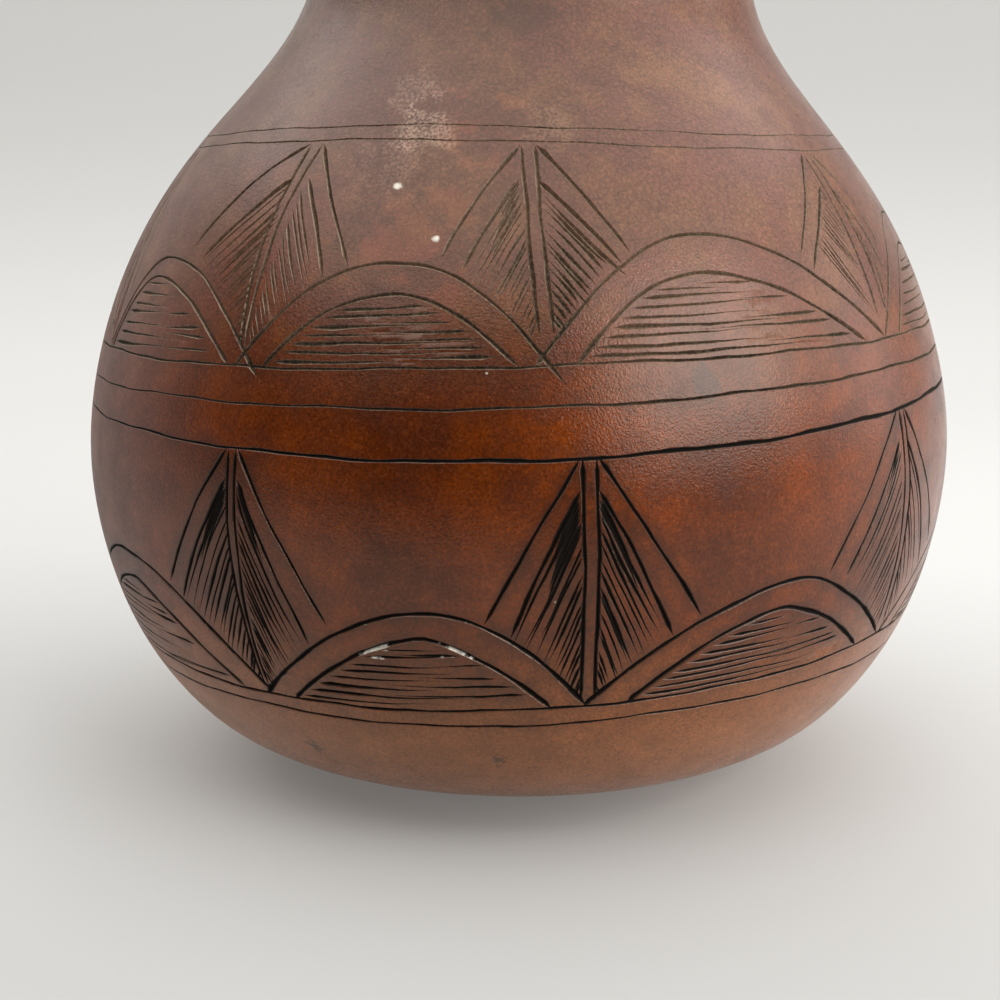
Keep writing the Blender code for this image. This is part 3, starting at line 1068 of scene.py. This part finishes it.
@dataclass
class GourdShell:
    """The gourd's shell: its sizes in millimetres, and how its mesh is made.

    Margins are on the flat ring: how far round a cut the points of the net and the land are
    looked at. Lumps are the swells' sizes per metre and how strong each is.
    """

    wall: float = 6.0
    sides: int = 240
    band_low: float = 24.0
    band_high: float = 145.0
    ring_step: float = 2.8
    inner_step: float = 5.5
    rim_steps: int = 8
    land_step: float = 2.3
    land_clear: float = 1.1
    join_within: float = 0.03
    rim_rise: float = 1.28
    rim_round: float = 0.7
    rim_at: float = 1.5
    weld_within: float = 0.008
    sliver: float = 0.002
    sharp_over: float = 28.0
    floor_rings: tuple[int, int] = (6, 4)
    margins: tuple[float, float] = (0.02, 0.03)
    inside_from: float = 0.9
    inside_over: float = 2.0
    underside: float = 0.5
    flat_below: float = 1.0
    firm_over: float = 10.0
    swell: float = 0.22
    lumps: tuple[tuple[float, float], ...] = ((16.0, 1.0), (45.0, 0.35))
    skin: Skin = field(default_factory=Skin)

    def build(self) -> bpy.types.Object:
        """Makes the shell's object.

        Returns:
            The object, at the origin, with its carving as real grooves.
        """
        whole = bmesh.new()
        layers = [whole.verts.layers.float.new(name) for name in ("ink", "lower", "stain")]
        points, faces, ink, lower, stain = self.carved_band()
        verts = [whole.verts.new(point * MM) for point in points]
        for vert, *values in zip(verts, ink, lower, stain):
            for layer, value in zip(layers, values):
                vert[layer] = value
        for face in faces:
            whole.faces.new([verts[i] for i in face])
        for profile in (self.base_profile(), self.neck_profile()):
            self.add_turned(whole, profile)
        bmesh.ops.remove_doubles(whole, verts=whole.verts, dist=self.weld_within * MM)
        bmesh.ops.dissolve_degenerate(whole, dist=self.sliver * MM, edges=whole.edges)
        bmesh.ops.triangulate(whole, faces=whole.faces)
        loose = [vert for vert in whole.verts if not vert.link_faces]
        bmesh.ops.delete(whole, geom=loose, context="VERTS")
        bmesh.ops.recalc_face_normals(whole, faces=whole.faces)
        self.mark_inside(whole)
        self.grow(whole)
        mesh = bpy.data.meshes.new("gourd_rind")
        whole.to_mesh(mesh)
        whole.free()
        mesh.shade_smooth()
        mesh.set_sharp_from_angle(angle=math.radians(self.sharp_over))
        shell = bpy.data.objects.new("gourd_rind", mesh)
        bpy.context.scene.collection.objects.link(shell)
        return shell

    def carved_band(self) -> tuple[np.ndarray, list[list[int]], np.ndarray, np.ndarray, np.ndarray]:
        """Meshes the band that holds the carving.

        No bmesh operator lays a net along crossing grooves, so the lines are joined into
        triangles on the unrolled skin, and the net is then raised onto the gourd.

        Returns:
            The points in millimetres, the triangles, how dark each point is, how far it is on
            the lower wall of its cut, and how stained the skin is there.
        """
        strokes = Carver(self.skin, self.sides).carve()
        spots: list[np.ndarray] = []
        edges: list[tuple[int, int]] = []

        def add_line(line: np.ndarray, closed: bool) -> None:
            """Adds a line's spots and the edges between them.

            Args:
                line: The line, on the flat ring.
                closed: Whether it runs right round.
            """
            first = len(spots)
            spots.extend(line)
            edges.extend((first + i, first + i + 1) for i in range(len(line) - 1))
            if closed:
                edges.append((first + len(line) - 1, first))

        for height in (self.band_low, self.band_high):
            line = [self.skin.place(angle, height) for angle in ring_angles(self.sides)]
            add_line(np.array(line), True)
        for stroke in strokes:
            for line in stroke.lines(self.skin):
                add_line(line, stroke.closed)
        land = self.land_spots(strokes)
        spots.extend(land)
        LOG.info("cuts %d, land spots %d, spots %d", len(strokes), len(land), len(spots))
        within = self.join_within / self.skin.radius.max()
        net = delaunay_2d_cdt([Vector(spot) for spot in spots], edges, [], 0, within, False)
        LOG.info("net of %d points and %d triangles", len(net[0]), len(net[2]))
        flat = np.array([vertex[:] for vertex in net[0]])
        corners = np.array(net[2])
        hole = float(np.interp(self.band_low, self.skin.height, self.skin.flat))
        centres = flat[corners].mean(axis=1)
        outside = np.hypot(*centres.T) > hole * math.cos(math.pi / self.sides)
        faces = corners[outside].tolist()
        scale = self.skin.scale(flat)
        depth, ink, lower, stain = np.zeros((4, len(flat)))
        for stroke in strokes:
            near = stroke.near(flat, self.margins[0])
            sunk, dark, side, rubbed = stroke.sink(flat[near], scale[near])
            stain[near] = np.maximum(stain[near], rubbed)
            lower[near] = np.where((side >= 0.0) & (dark >= ink[near]), side, lower[near])
            depth[near] = np.maximum(depth[near], sunk)
            ink[near] = np.maximum(ink[near], dark)
        return self.skin.raise_up(flat, depth), faces, ink, lower, stain

    def land_spots(self, strokes: list[Stroke]) -> np.ndarray:
        """Spreads even spots between the cuts, so that the plain skin stays round.

        Args:
            strokes: The cuts.

        Returns:
            The spots, on the flat ring.
        """
        low, high = self.skin.along(self.band_low), self.skin.along(self.band_high)
        rows = int((high - low) / self.land_step)
        spots = []
        for row in range(1, rows):
            radius, height = self.skin.spot(low + (high - low) * row / rows)
            count = int(2.0 * math.pi * radius / self.land_step)
            shift = 0.5 * (row % 2)
            spots.extend(self.skin.place(360.0 * (i + shift) / count, height) for i in range(count))
        land = np.array(spots)
        scale = self.skin.scale(land)
        clear = np.ones(len(land), bool)
        for stroke in strokes:
            near = stroke.near(land, self.margins[1])
            clear[near] &= stroke.clear_of(land[near], scale[near], self.land_clear)
        return land[clear]

    def base_profile(self) -> list[tuple[float, float]]:
        """Draws the plain foot, from the middle of the flat spot up to the carved band.

        Returns:
            Radius and height of each point.
        """
        end = self.skin.along(self.band_low)
        flat = self.skin.radius[0]
        rings = self.floor_rings[0]
        profile = [(flat * i / rings, 0.0) for i in range(rings)]
        count = int(end / self.ring_step)
        profile.extend(self.skin.spot(end * i / count) for i in range(count + 1))
        return profile

    def neck_profile(self) -> list[tuple[float, float]]:
        """Draws the plain neck, the rounded rim and the inside, down to its middle.

        Returns:
            Radius and height of each point.
        """
        start = self.skin.along(self.band_high)
        end = self.skin.length[-1] - self.rim_at
        count = int((end - start) / self.ring_step)
        profile = [self.skin.spot(start + (end - start) * i / count) for i in range(count + 1)]
        outer_radius, rim_height = profile[-1]
        for i in range(1, self.rim_steps + 1):
            turn = math.pi * i / self.rim_steps
            across = self.wall / 2.0 * (1.0 - math.cos(turn))
            rise = self.rim_rise * math.sin(turn) ** self.rim_round
            profile.append((outer_radius - across, rim_height + rise))
        count = int(end / self.inner_step)
        for i in range(1, count + 1):
            profile.append(self.skin.inside(end - 1.0 - (end - 1.0) * i / count, self.wall))
        last = profile[-1][0]
        rings = self.floor_rings[1]
        profile.extend((last * (1.0 - i / rings), self.wall) for i in range(1, rings + 1))
        return profile

    def add_turned(self, whole: bmesh.types.BMesh, profile: list[tuple[float, float]]) -> None:
        """Spins a profile right round and adds it.

        Args:
            whole: The mesh that it is added to.
            profile: Radius and height of each point.
        """
        part = bmesh.new()
        verts = [part.verts.new((radius * MM, 0.0, height * MM)) for radius, height in profile]
        edges = [part.edges.new(pair) for pair in zip(verts, verts[1:])]
        bmesh.ops.spin(
            part,
            geom=verts + edges,
            axis=(0.0, 0.0, 1.0),
            cent=(0.0, 0.0, 0.0),
            angle=2.0 * math.pi,
            steps=self.sides,
            use_merge=True,
        )
        turned_part = bpy.data.meshes.new("turned")
        part.to_mesh(turned_part)
        part.free()
        whole.from_mesh(turned_part)
        bpy.data.meshes.remove(turned_part)

    def mark_inside(self, whole: bmesh.types.BMesh) -> None:
        """Marks the inner wall and the rim, which have their own colour.

        Args:
            whole: The mesh.
        """
        layer = whole.verts.layers.float.new("inside")
        for vert in whole.verts:
            height = vert.co.z / MM
            if height < self.underside:
                continue
            outer = float(np.interp(height, self.skin.height, self.skin.radius))
            gap = outer - math.hypot(vert.co.x, vert.co.y) / MM
            vert[layer] = min(max((gap - self.inside_from) / self.inside_over, 0.0), 1.0)

    def grow(self, whole: bmesh.types.BMesh) -> None:
        """Gives the shell the slight unevenness of a grown thing, and leans its neck.

        Args:
            whole: The mesh.
        """
        for vert in whole.verts:
            height = vert.co.z / MM
            firm = min(max((height - self.flat_below) / self.firm_over, 0.0), 1.0)
            around = Vector((vert.co.x, vert.co.y, 0.0)).normalized()
            lump = sum(strength * noise.noise(vert.co * size) for size, strength in self.lumps) - 1.0
            vert.co += around * (lump * self.swell * firm * MM)
            vert.co.x += self.skin.lean(height) * MM


def linear(code: str) -> tuple[float, float, float, float]:
    """Turns an sRGB colour linear.

    Args:
        code: The colour's hex value.

    Returns:
        Red, green, blue and a full alpha.
    """
    parts = [int(code[i : i + 2], 16) / 255.0 for i in (0, 2, 4)]
    values = [p / 12.92 if p <= 0.04045 else ((p + 0.055) / 1.055) ** 2.4 for p in parts]
    return (*values, 1.0)


@dataclass(frozen=True)
class Span:
    """A pattern stretched so that low gives bottom and high gives top, and cut off there."""

    source: str | bpy.types.NodeSocket
    low: float = 0.0
    high: float = 1.0
    top: float = 1.0
    bottom: float = 0.0


class Shader:
    """A material's node tree while it is being made, with the patterns that its spans read."""

    def __init__(self, name: str) -> None:
        """Starts a material with nothing but Object coordinates.

        Args:
            name: The material's name.
        """
        self.material = bpy.data.materials.new(name)
        self.material.use_nodes = True
        self.tree = self.material.node_tree
        self.tree.nodes.clear()
        self.place = self.add("ShaderNodeTexCoord").outputs["Object"]
        parts = self.add("ShaderNodeSeparateXYZ", {"Vector": self.place}).outputs
        self.patterns = {"across": parts["X"], "along": parts["Y"], "height": parts["Z"]}

    def add(self, kind: str, links: dict | None = None, **settings: object) -> bpy.types.Node:
        """Adds a node.

        Args:
            kind: The node's type.
            links: A value, or another node's output socket, for each input.
            settings: The node's own properties.

        Returns:
            The node.
        """
        node = self.tree.nodes.new(kind)
        for name, value in settings.items():
            setattr(node, name, value)
        for name, value in (links or {}).items():
            if isinstance(value, bpy.types.NodeSocket):
                self.tree.links.new(value, node.inputs[name])
            else:
                node.inputs[name].default_value = value
        return node

    def share(self, *spans: Span) -> bpy.types.NodeSocket:
        """Multiplies stretched patterns.

        Args:
            spans: The patterns and how each is stretched.

        Returns:
            Their product.
        """
        product = None
        for span in spans:
            source = self.patterns.get(span.source, span.source)
            ends = {"From Min": span.low, "From Max": span.high, "To Min": span.bottom, "To Max": span.top}
            value = self.add("ShaderNodeMapRange", {"Value": source, **ends}).outputs["Result"]
            if product is not None:
                links = {0: product, 1: value}
                value = self.add("ShaderNodeMath", links, operation="MULTIPLY").outputs[0]
            product = value
        return product

    def coat(self, under: bpy.types.NodeSocket | str, *layers: tuple) -> bpy.types.NodeSocket:
        """Lays colours over each other.

        Args:
            under: The lowest colour, a socket or a hex value.
            layers: Each a colour and the spans whose product is how thickly it lies.

        Returns:
            The colour that shows.
        """
        for over, *spans in layers:
            first, second = (linear(end) if isinstance(end, str) else end for end in (under, over))
            links = {0: self.share(*spans), 6: first, 7: second}
            under = self.add("ShaderNodeMix", links, data_type="RGBA").outputs[2]
        return under


@dataclass(frozen=True)
class Mark:
    """A stain, rub or fleck on the rind, placed by angle and height; sizes are millimetres."""

    angle: float
    height: float
    radius: float
    colour: str
    strength: float = 1.0
    ragged: float = 0.5
    flecks: bool = False

    EDGE = (0.35, 0.65)
    FADE = (1.25, 0.55)

    def span(self, shader: Shader, edge: str) -> Span:
        """Works out how strongly the mark shows at each place.

        Args:
            shader: The material being made.
            edge: The pattern that makes its edge ragged.

        Returns:
            A span that gives 0 outside the mark, up to its strength inside.
        """
        skin = Skin()
        radius = float(np.interp(self.height, skin.height, skin.radius))
        turn = math.radians(self.angle)
        across = radius * math.sin(turn) + skin.lean(self.height)
        centre = Vector((across, -radius * math.cos(turn), self.height)) * MM
        far = shader.add("ShaderNodeVectorMath", {0: shader.place, 1: centre}, operation="DISTANCE")
        uneven = self.radius * self.ragged * MM
        shift = shader.share(Span(edge, *self.EDGE, uneven, -uneven))
        reach = shader.add("ShaderNodeMath", {0: far.outputs["Value"], 1: shift}, operation="ADD")
        ends = [self.radius * share * MM for share in self.FADE]
        return Span(reach.outputs[0], *ends, self.strength)


RUBBED = "c9ad95"
CHALK = "e9e2d2"
BRUISE = "1f181c"
RUDDY = "9c4a2c"
UMBER = "3a2015"

MARKS = (
    Mark(-19.5, 146.0, 4.2, RUBBED, 0.2, 0.9, True),
    Mark(-15.5, 140.0, 4.8, RUBBED, 0.42, 0.9, True),
    Mark(-19.0, 133.0, 8.0, RUBBED, 0.12, 0.9, True),
    Mark(4.0, 139.5, 5.0, RUBBED, 0.09, 0.9, True),
    Mark(-6.0, 141.0, 6.0, RUDDY, 0.16, 1.0),
    Mark(-14.0, 121.0, 9.0, RUDDY, 0.18, 1.0),
    Mark(-30.0, 124.0, 12.0, RUDDY, 0.12, 1.0),
    Mark(20.8, 95.2, 2.6, BRUISE, 0.55, 1.0),
    Mark(26.0, 96.2, 2.2, BRUISE, 0.2, 1.0),
    Mark(41.0, 97.5, 2.6, UMBER, 0.4, 1.0),
    Mark(-2.0, 161.5, 6.0, UMBER, 0.5, 1.0),
    Mark(-10.0, 167.0, 7.0, UMBER, 0.4, 1.0),
    Mark(-30.0, 21.5, 1.7, UMBER, 0.8, 0.7),
    Mark(-2.5, 23.0, 1.4, BRUISE, 0.6, 0.8),
    Mark(-16.8, 129.0, 0.78, CHALK, 1.0, 0.3),
    Mark(-10.3, 120.0, 0.65, CHALK, 1.0, 0.3),
    Mark(-3.4, 97.5, 0.30, CHALK, 0.9, 0.3),
    Mark(4.1, 57.6, 0.36, CHALK, 0.9, 0.3),
)

CHALKED = (
    Mark(-16.6, 47.9, 2.8, CHALK, 1.0, 0.5),
    Mark(-6.3, 48.8, 2.7, CHALK, 0.9, 0.7),
)


@dataclass(frozen=True)
class PolishedRind:
    """Dried gourd rind, dyed and polished by handling: a hard skin with a leathery grain.

    The skin gives a soft sheen that the fine wrinkles break into flecks. Knife cuts show
    black where soot has filled them and been rubbed round them, and grey-brown on the worn
    shoulder. Their lower walls are painted pale, partly as dusty grime and partly as a painted
    highlight of the lit lower lip. The colour also holds painted light: the shoulder is painted
    greyer and lighter, partly as painted sheen, the foot paler as painted bounce light from the
    floor, and the right side lighter as painted window light.
    """

    deep: str = "501f02"
    warm: str = "6b2d04"
    dusky: str = "48190a"
    pale: str = "7a4226"
    taupe: str = "6a4434"
    plum: str = "5e3a30"
    # Painted bounce light: the foot is painted paler, as light from the floor would make it.
    olive: str = "6a4830"
    painted_foot_bounce: str = "844f2a"
    # Pale of the cuts: dusty grime, and on the lower walls a painted highlight of the lit lower lip.
    dust_and_highlight: str = "a8937a"
    dust_and_highlight_low: str = "7c5742"
    soot: str = "0c0806"
    grime: str = "33291d"
    worn: str = "5a4636"
    pulp: str = "b79a72"
    pulp_deep: str = "8f6f4a"
    sheen: str = "fff1e4"
    ior: float = 1.56
    gloss: tuple[float, float] = (0.20, 0.30)
    dull_roughness: float = 0.85
    shine: tuple[float, float] = (0.5, 0.15)
    grain_height: float = 0.078
    crackle: float = 1.3

    # Soft blotches and grain: the size of a patch in millimetres and how many finer ones it holds.
    CLOUDS = {
        "big": (30.0, 3.0),
        "middle": (13.0, 3.0),
        "small": (7.0, 3.0),
        "fine": (1.1, 3.0),
        "fleck": (0.55, 2.0),
        "grain": (0.45, 2.0),
    }
    # Values that the mesh carries.
    CARRIED = ("ink", "lower", "stain", "inside")
    # The worn, dusty upper band starts here, in metres up.
    HIGH = Span("height", 0.085, 0.105)
    CUT = Span("ink", 0.02, 0.10)

    def material(self) -> bpy.types.Material:
        """Makes the material.

        Returns:
            The rind's material.
        """
        shader = Shader("polished_gourd_rind")
        add = shader.add
        for name, (size, detail) in self.CLOUDS.items():
            links = {"Vector": shader.place, "Scale": 1.0 / (size * MM), "Detail": detail, "Roughness": 0.6}
            shader.patterns[name] = add("ShaderNodeTexNoise", links).outputs["Fac"]
        for name in self.CARRIED:
            shader.patterns[name] = add("ShaderNodeAttribute", attribute_name=name).outputs["Fac"]
        shader.patterns["cells"] = self.cracks(shader)
        colour = self.cuts(shader, self.skin(shader))
        pulp = shader.coat(self.pulp, (self.pulp_deep, Span("small")))
        colour = shader.coat(colour, (pulp, Span("inside")))
        links = {"Height": shader.patterns["grain"], "Strength": 1.0, "Distance": self.grain_height * MM}
        relief = add("ShaderNodeBump", links).outputs["Normal"]
        dull = shader.share(Span("ink", 0.12, 0.5))
        handled = shader.share(Span("across", -0.045, -0.085, 0.4))
        for other in (handled, shader.patterns["inside"]):
            dull = add("ShaderNodeMath", {0: dull, 1: other}, operation="MAXIMUM").outputs[0]
        gloss = shader.share(Span("small", 0.3, 0.7, self.gloss[1], self.gloss[0]))
        links = {0: dull, 2: gloss, 3: self.dull_roughness}
        rough = add("ShaderNodeMix", links, data_type="FLOAT").outputs[0]
        skin = add(
            "ShaderNodeBsdfPrincipled",
            {
                "Base Color": colour,
                "Roughness": rough,
                "Normal": relief,
                "IOR": self.ior,
                "Specular IOR Level": shader.share(Span(dull, 0.0, 1.0, self.shine[1], self.shine[0])),
                "Specular Tint": linear(self.sheen),
            },
        )
        add("ShaderNodeOutputMaterial", {"Surface": skin.outputs["BSDF"]})
        return shader.material

    def skin(self, shader: Shader) -> bpy.types.NodeSocket:
        """Lays the colour of the uncut rind, with its marks and its painted light.

        Args:
            shader: The material being made.

        Returns:
            The colour.
        """
        # The shoulder's greyer, lighter colour is partly dust and rubbing and partly painted sheen of the
        # light from above.
        shoulder = shader.coat(
            self.plum,
            (self.olive, Span("middle", 0.42, 0.58)),
            (self.taupe, Span("small", 0.35, 0.65, 0.5)),
        )
        crack = (Span("cells", 0.2, 0.0, 0.9), Span("small"), Span("height", 0.095, 0.125, 0.9, 0.15))
        colour = shader.coat(
            self.deep,
            (self.warm, Span("big", 0.4, 0.62)),
            (self.dusky, Span("small", 0.45, 0.75, 0.5)),
            (shoulder, Span("height", 0.088, 0.122, 0.88)),
            # Painted bounce light from the floor: paler towards the foot.
            (self.painted_foot_bounce, Span("height", 0.052, 0.026)),
            (self.pale, Span("fine", 0.5, 0.75, 0.22)),
            (self.dusky, *crack),
        )
        # Brightness: the flecks and soft patches are the skin's own grain, but the right side is painted
        # lighter as painted window light, and the left edge as painted sheen.
        value = shader.share(
            Span("fleck", 0.3, 0.7, 1.36, 0.66),
            Span("small", 0.32, 0.68, 0.86, 1.14),
            Span("across", 0.0, 0.045, 1.30, 0.98),
            Span("across", -0.02, -0.07, 1.28, 1.0),
        )
        links = {"Color": colour, "Value": value}
        colour = shader.add("ShaderNodeHueSaturation", links).outputs["Color"]
        for mark in MARKS:
            spans = [mark.span(shader, "small" if mark.radius > 2.0 else "fine")]
            if mark.flecks:
                spans.append(Span("fleck", 0.42, 0.62))
            colour = shader.coat(colour, (mark.colour, *spans))
        return shader.coat(colour, (self.soot, Span("stain"), Span("fine", 0.2, 0.8)))

    def cuts(self, shader: Shader, colour: bpy.types.NodeSocket) -> bpy.types.NodeSocket:
        """Lays the knife cuts' colours over the rind's.

        Args:
            shader: The material being made.
            colour: The uncut rind's colour.

        Returns:
            The colour of the whole outside.
        """
        links = {0: shader.patterns["ink"], 1: shader.share(Span("fine", 0.25, 0.75, 0.22))}
        ragged = shader.add("ShaderNodeMath", links, operation="SUBTRACT").outputs[0]
        dirt = shader.coat(
            self.soot, (self.grime, self.HIGH), (self.worn, self.HIGH, Span("big", 0.42, 0.60))
        )
        # Pale on the lower walls of the cuts: dusty grime and a painted highlight where the lower lip would
        # catch the light, weaker on the right side.
        dust_and_highlight = shader.coat(self.dust_and_highlight_low, (self.dust_and_highlight, self.HIGH))
        lower_wall_dust_and_highlight = (
            self.CUT,
            Span("lower", 0.76, 0.97),
            Span("across", 0.050, -0.010, 0.95, 0.35),
            Span("small", 0.35, 0.6),
        )
        colour = shader.coat(
            colour,
            (dirt, Span(ragged, 0.0, 0.14)),
            (dust_and_highlight, *lower_wall_dust_and_highlight),
            (self.dust_and_highlight, self.HIGH, self.CUT, Span("fleck", 0.46, 0.62, 0.22)),
        )
        for mark in CHALKED:
            spans = (mark.span(shader, "fine"), self.CUT, Span("lower", 0.45, 0.7))
            colour = shader.coat(colour, (mark.colour, *spans))
        return colour

    def cracks(self, shader: Shader) -> bpy.types.NodeSocket:
        """Lays out a net of fine uneven cracks.

        Args:
            shader: The material being made.

        Returns:
            The distance from a crack.
        """
        add = shader.add
        size = self.crackle
        shake = add("ShaderNodeTexNoise", {"Vector": shader.place, "Scale": 0.7 / (size * MM)})
        links = {0: shake.outputs["Color"], "Scale": 1.1 * size * MM}
        shift = add("ShaderNodeVectorMath", links, operation="SCALE").outputs["Vector"]
        moved = add("ShaderNodeVectorMath", {0: shader.place, 1: shift}, operation="ADD").outputs["Vector"]
        links = {"Vector": moved, "Scale": 1.0 / (size * MM)}
        return add("ShaderNodeTexVoronoi", links, feature="DISTANCE_TO_EDGE").outputs["Distance"]


@dataclass(frozen=True)
class MattBoard:
    """Matt white board, painted: the plain pale sweep behind and under the gourd.

    It is painted darker towards the viewer and towards the top of the wall, as painted shade where the
    light falls off, and it glows faintly as a painted fill light.
    """

    # Tone along the sweep: the dark first stop and the greyer stops near the viewer and at the top of the
    # wall are painted shade.
    tone_and_painted_shade_stops: tuple[tuple[float, str], ...] = (
        (-0.45, "2a2928"),
        (-0.17, "aaa9a6"),
        (0.02, "b8b7b4"),
        (0.20, "c0bfbc"),
        (0.65, "c0bfbc"),
        (1.25, "aaa9a6"),
    )
    # Painted fill light: the board glows faintly, though it is no lamp, to lift its shadows.
    glow: float = 0.285
    roughness: float = 0.9

    def material(self) -> bpy.types.Material:
        """Makes the material.

        Returns:
            The board's material.
        """
        shader = Shader("matt_white_board")
        add = shader.add
        links = {0: shader.patterns["along"], 1: shader.patterns["height"]}
        along = add("ShaderNodeMath", links, operation="ADD").outputs[0]
        colour = linear(self.tone_and_painted_shade_stops[0][1])
        for (low, _), (high, code) in zip(self.tone_and_painted_shade_stops, self.tone_and_painted_shade_stops[1:]):
            links = {"Value": along, "From Min": low, "From Max": high}
            share = add("ShaderNodeMapRange", links, interpolation_type="SMOOTHSTEP").outputs["Result"]
            links = {0: share, 6: colour, 7: linear(code)}
            colour = add("ShaderNodeMix", links, data_type="RGBA").outputs[2]
        links = {"Base Color": colour, "Roughness": self.roughness}
        # Painted fill light: the board glows in its own colour.
        links.update({"Emission Color": colour, "Emission Strength": self.glow})
        board = add("ShaderNodeBsdfPrincipled", links)
        add("ShaderNodeOutputMaterial", {"Surface": board.outputs["BSDF"]})
        return shader.material


@dataclass(frozen=True)
class Panel:
    """A soft rectangular light: its place, the point that it faces, its size and its watts."""

    name: str
    place: tuple[float, float, float]
    aim: tuple[float, float, float]
    size: tuple[float, float]
    power: float

    def build(self) -> None:
        """Makes the light."""
        light = bpy.data.lights.new(self.name, "AREA")
        light.shape = "RECTANGLE"
        light.size, light.size_y = self.size
        light.energy = self.power
        lamp = bpy.data.objects.new(self.name, light)
        lamp.location = self.place
        facing = Vector(self.aim) - Vector(self.place)
        lamp.rotation_euler = facing.to_track_quat("-Z", "Y").to_euler()
        bpy.context.scene.collection.objects.link(lamp)


@dataclass
class Studio:
    """The plain pale surround, the soft lights and the camera, sized in metres."""

    lens: float = 59.67
    camera_place: tuple[float, float, float] = (0.0, -0.3743, 0.1326)
    camera_down: float = 11.433
    camera_turn: float = 0.607
    sensor: float = 36.0
    clip_start: float = 0.01
    sweep: float = 3.0
    wall_at: float = 1.1
    wall_bend: float = 0.5
    wall_height: float = 2.5
    bend_steps: int = 12
    room: str = "dcdcda"
    room_glow: float = 0.03

    # A big soft light above, a window at the right front and a pale wall at the left.
    PANELS = (
        Panel("above", (0.0, -0.10, 1.15), (0.0, -0.10, 0.0), (2.8, 2.4), 38.0),
        Panel("window", (0.76, -0.65, 0.49), (0.0, 0.0, 0.1), (0.90, 0.62), 8.5),
        Panel("right", (1.25, 0.15, 0.45), (0.0, 0.0, 0.1), (0.8, 0.8), 4.0),
        Panel("left", (-1.0, 0.55, 0.40), (0.0, 0.0, 0.1), (1.0, 0.8), 1.1),
    )

    def build(self) -> None:
        """Makes the surround, the lights and the camera."""
        self.backdrop()
        self.lights()
        self.camera()
        bpy.context.scene.view_settings.view_transform = "Standard"

    def backdrop(self) -> None:
        """Makes a floor that bends up into a wall behind."""
        half = self.sweep
        profile = [(-half, 0.0), (self.wall_at - self.wall_bend, 0.0)]
        for i in range(1, self.bend_steps + 1):
            turn = math.radians(90.0 * i / self.bend_steps)
            along = self.wall_at - self.wall_bend + self.wall_bend * math.sin(turn)
            profile.append((along, self.wall_bend * (1.0 - math.cos(turn))))
        profile.append((self.wall_at, self.wall_height))
        sheet = bmesh.new()
        verts = [sheet.verts.new((-half, y, z)) for y, z in profile]
        edges = [sheet.edges.new(pair) for pair in zip(verts, verts[1:])]
        made = bmesh.ops.extrude_edge_only(sheet, edges=edges)
        moved = [item for item in made["geom"] if isinstance(item, bmesh.types.BMVert)]
        bmesh.ops.translate(sheet, verts=moved, vec=(2.0 * half, 0.0, 0.0))
        bmesh.ops.recalc_face_normals(sheet, faces=sheet.faces)
        mesh = bpy.data.meshes.new("backdrop")
        sheet.to_mesh(mesh)
        sheet.free()
        mesh.shade_smooth()
        mesh.materials.append(MattBoard().material())
        board = bpy.data.objects.new("backdrop", mesh)
        bpy.context.scene.collection.objects.link(board)

    def lights(self) -> None:
        """Sets the room's faint glow and the panels."""
        world = bpy.data.worlds.new("room")
        world.use_nodes = True
        glow = world.node_tree.nodes["Background"]
        glow.inputs["Color"].default_value = linear(self.room)
        glow.inputs["Strength"].default_value = self.room_glow
        bpy.context.scene.world = world
        for panel in self.PANELS:
            panel.build()

    def camera(self) -> None:
        """Sets the camera at the photograph's viewing angle."""
        camera = bpy.data.cameras.new("view")
        camera.lens = self.lens
        camera.sensor_width = self.sensor
        camera.clip_start = self.clip_start
        viewer = bpy.data.objects.new("view", camera)
        viewer.location = self.camera_place
        viewer.rotation_euler = (math.radians(90.0 - self.camera_down), 0.0, math.radians(self.camera_turn))
        bpy.context.scene.collection.objects.link(viewer)
        bpy.context.scene.camera = viewer


def main() -> None:
    """Builds the gourd, dresses it and sets up the studio."""
    logging.basicConfig(level=logging.INFO, format="%(message)s")
    shell = GourdShell().build()
    shell.data.materials.append(PolishedRind().material())
    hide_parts("gourd_shell")
    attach(shell, "root")
    LOG.info("%s: %d triangles", shell.name, len(shell.data.polygons))
    Studio().build()


if __name__ == "__main__":
    main()
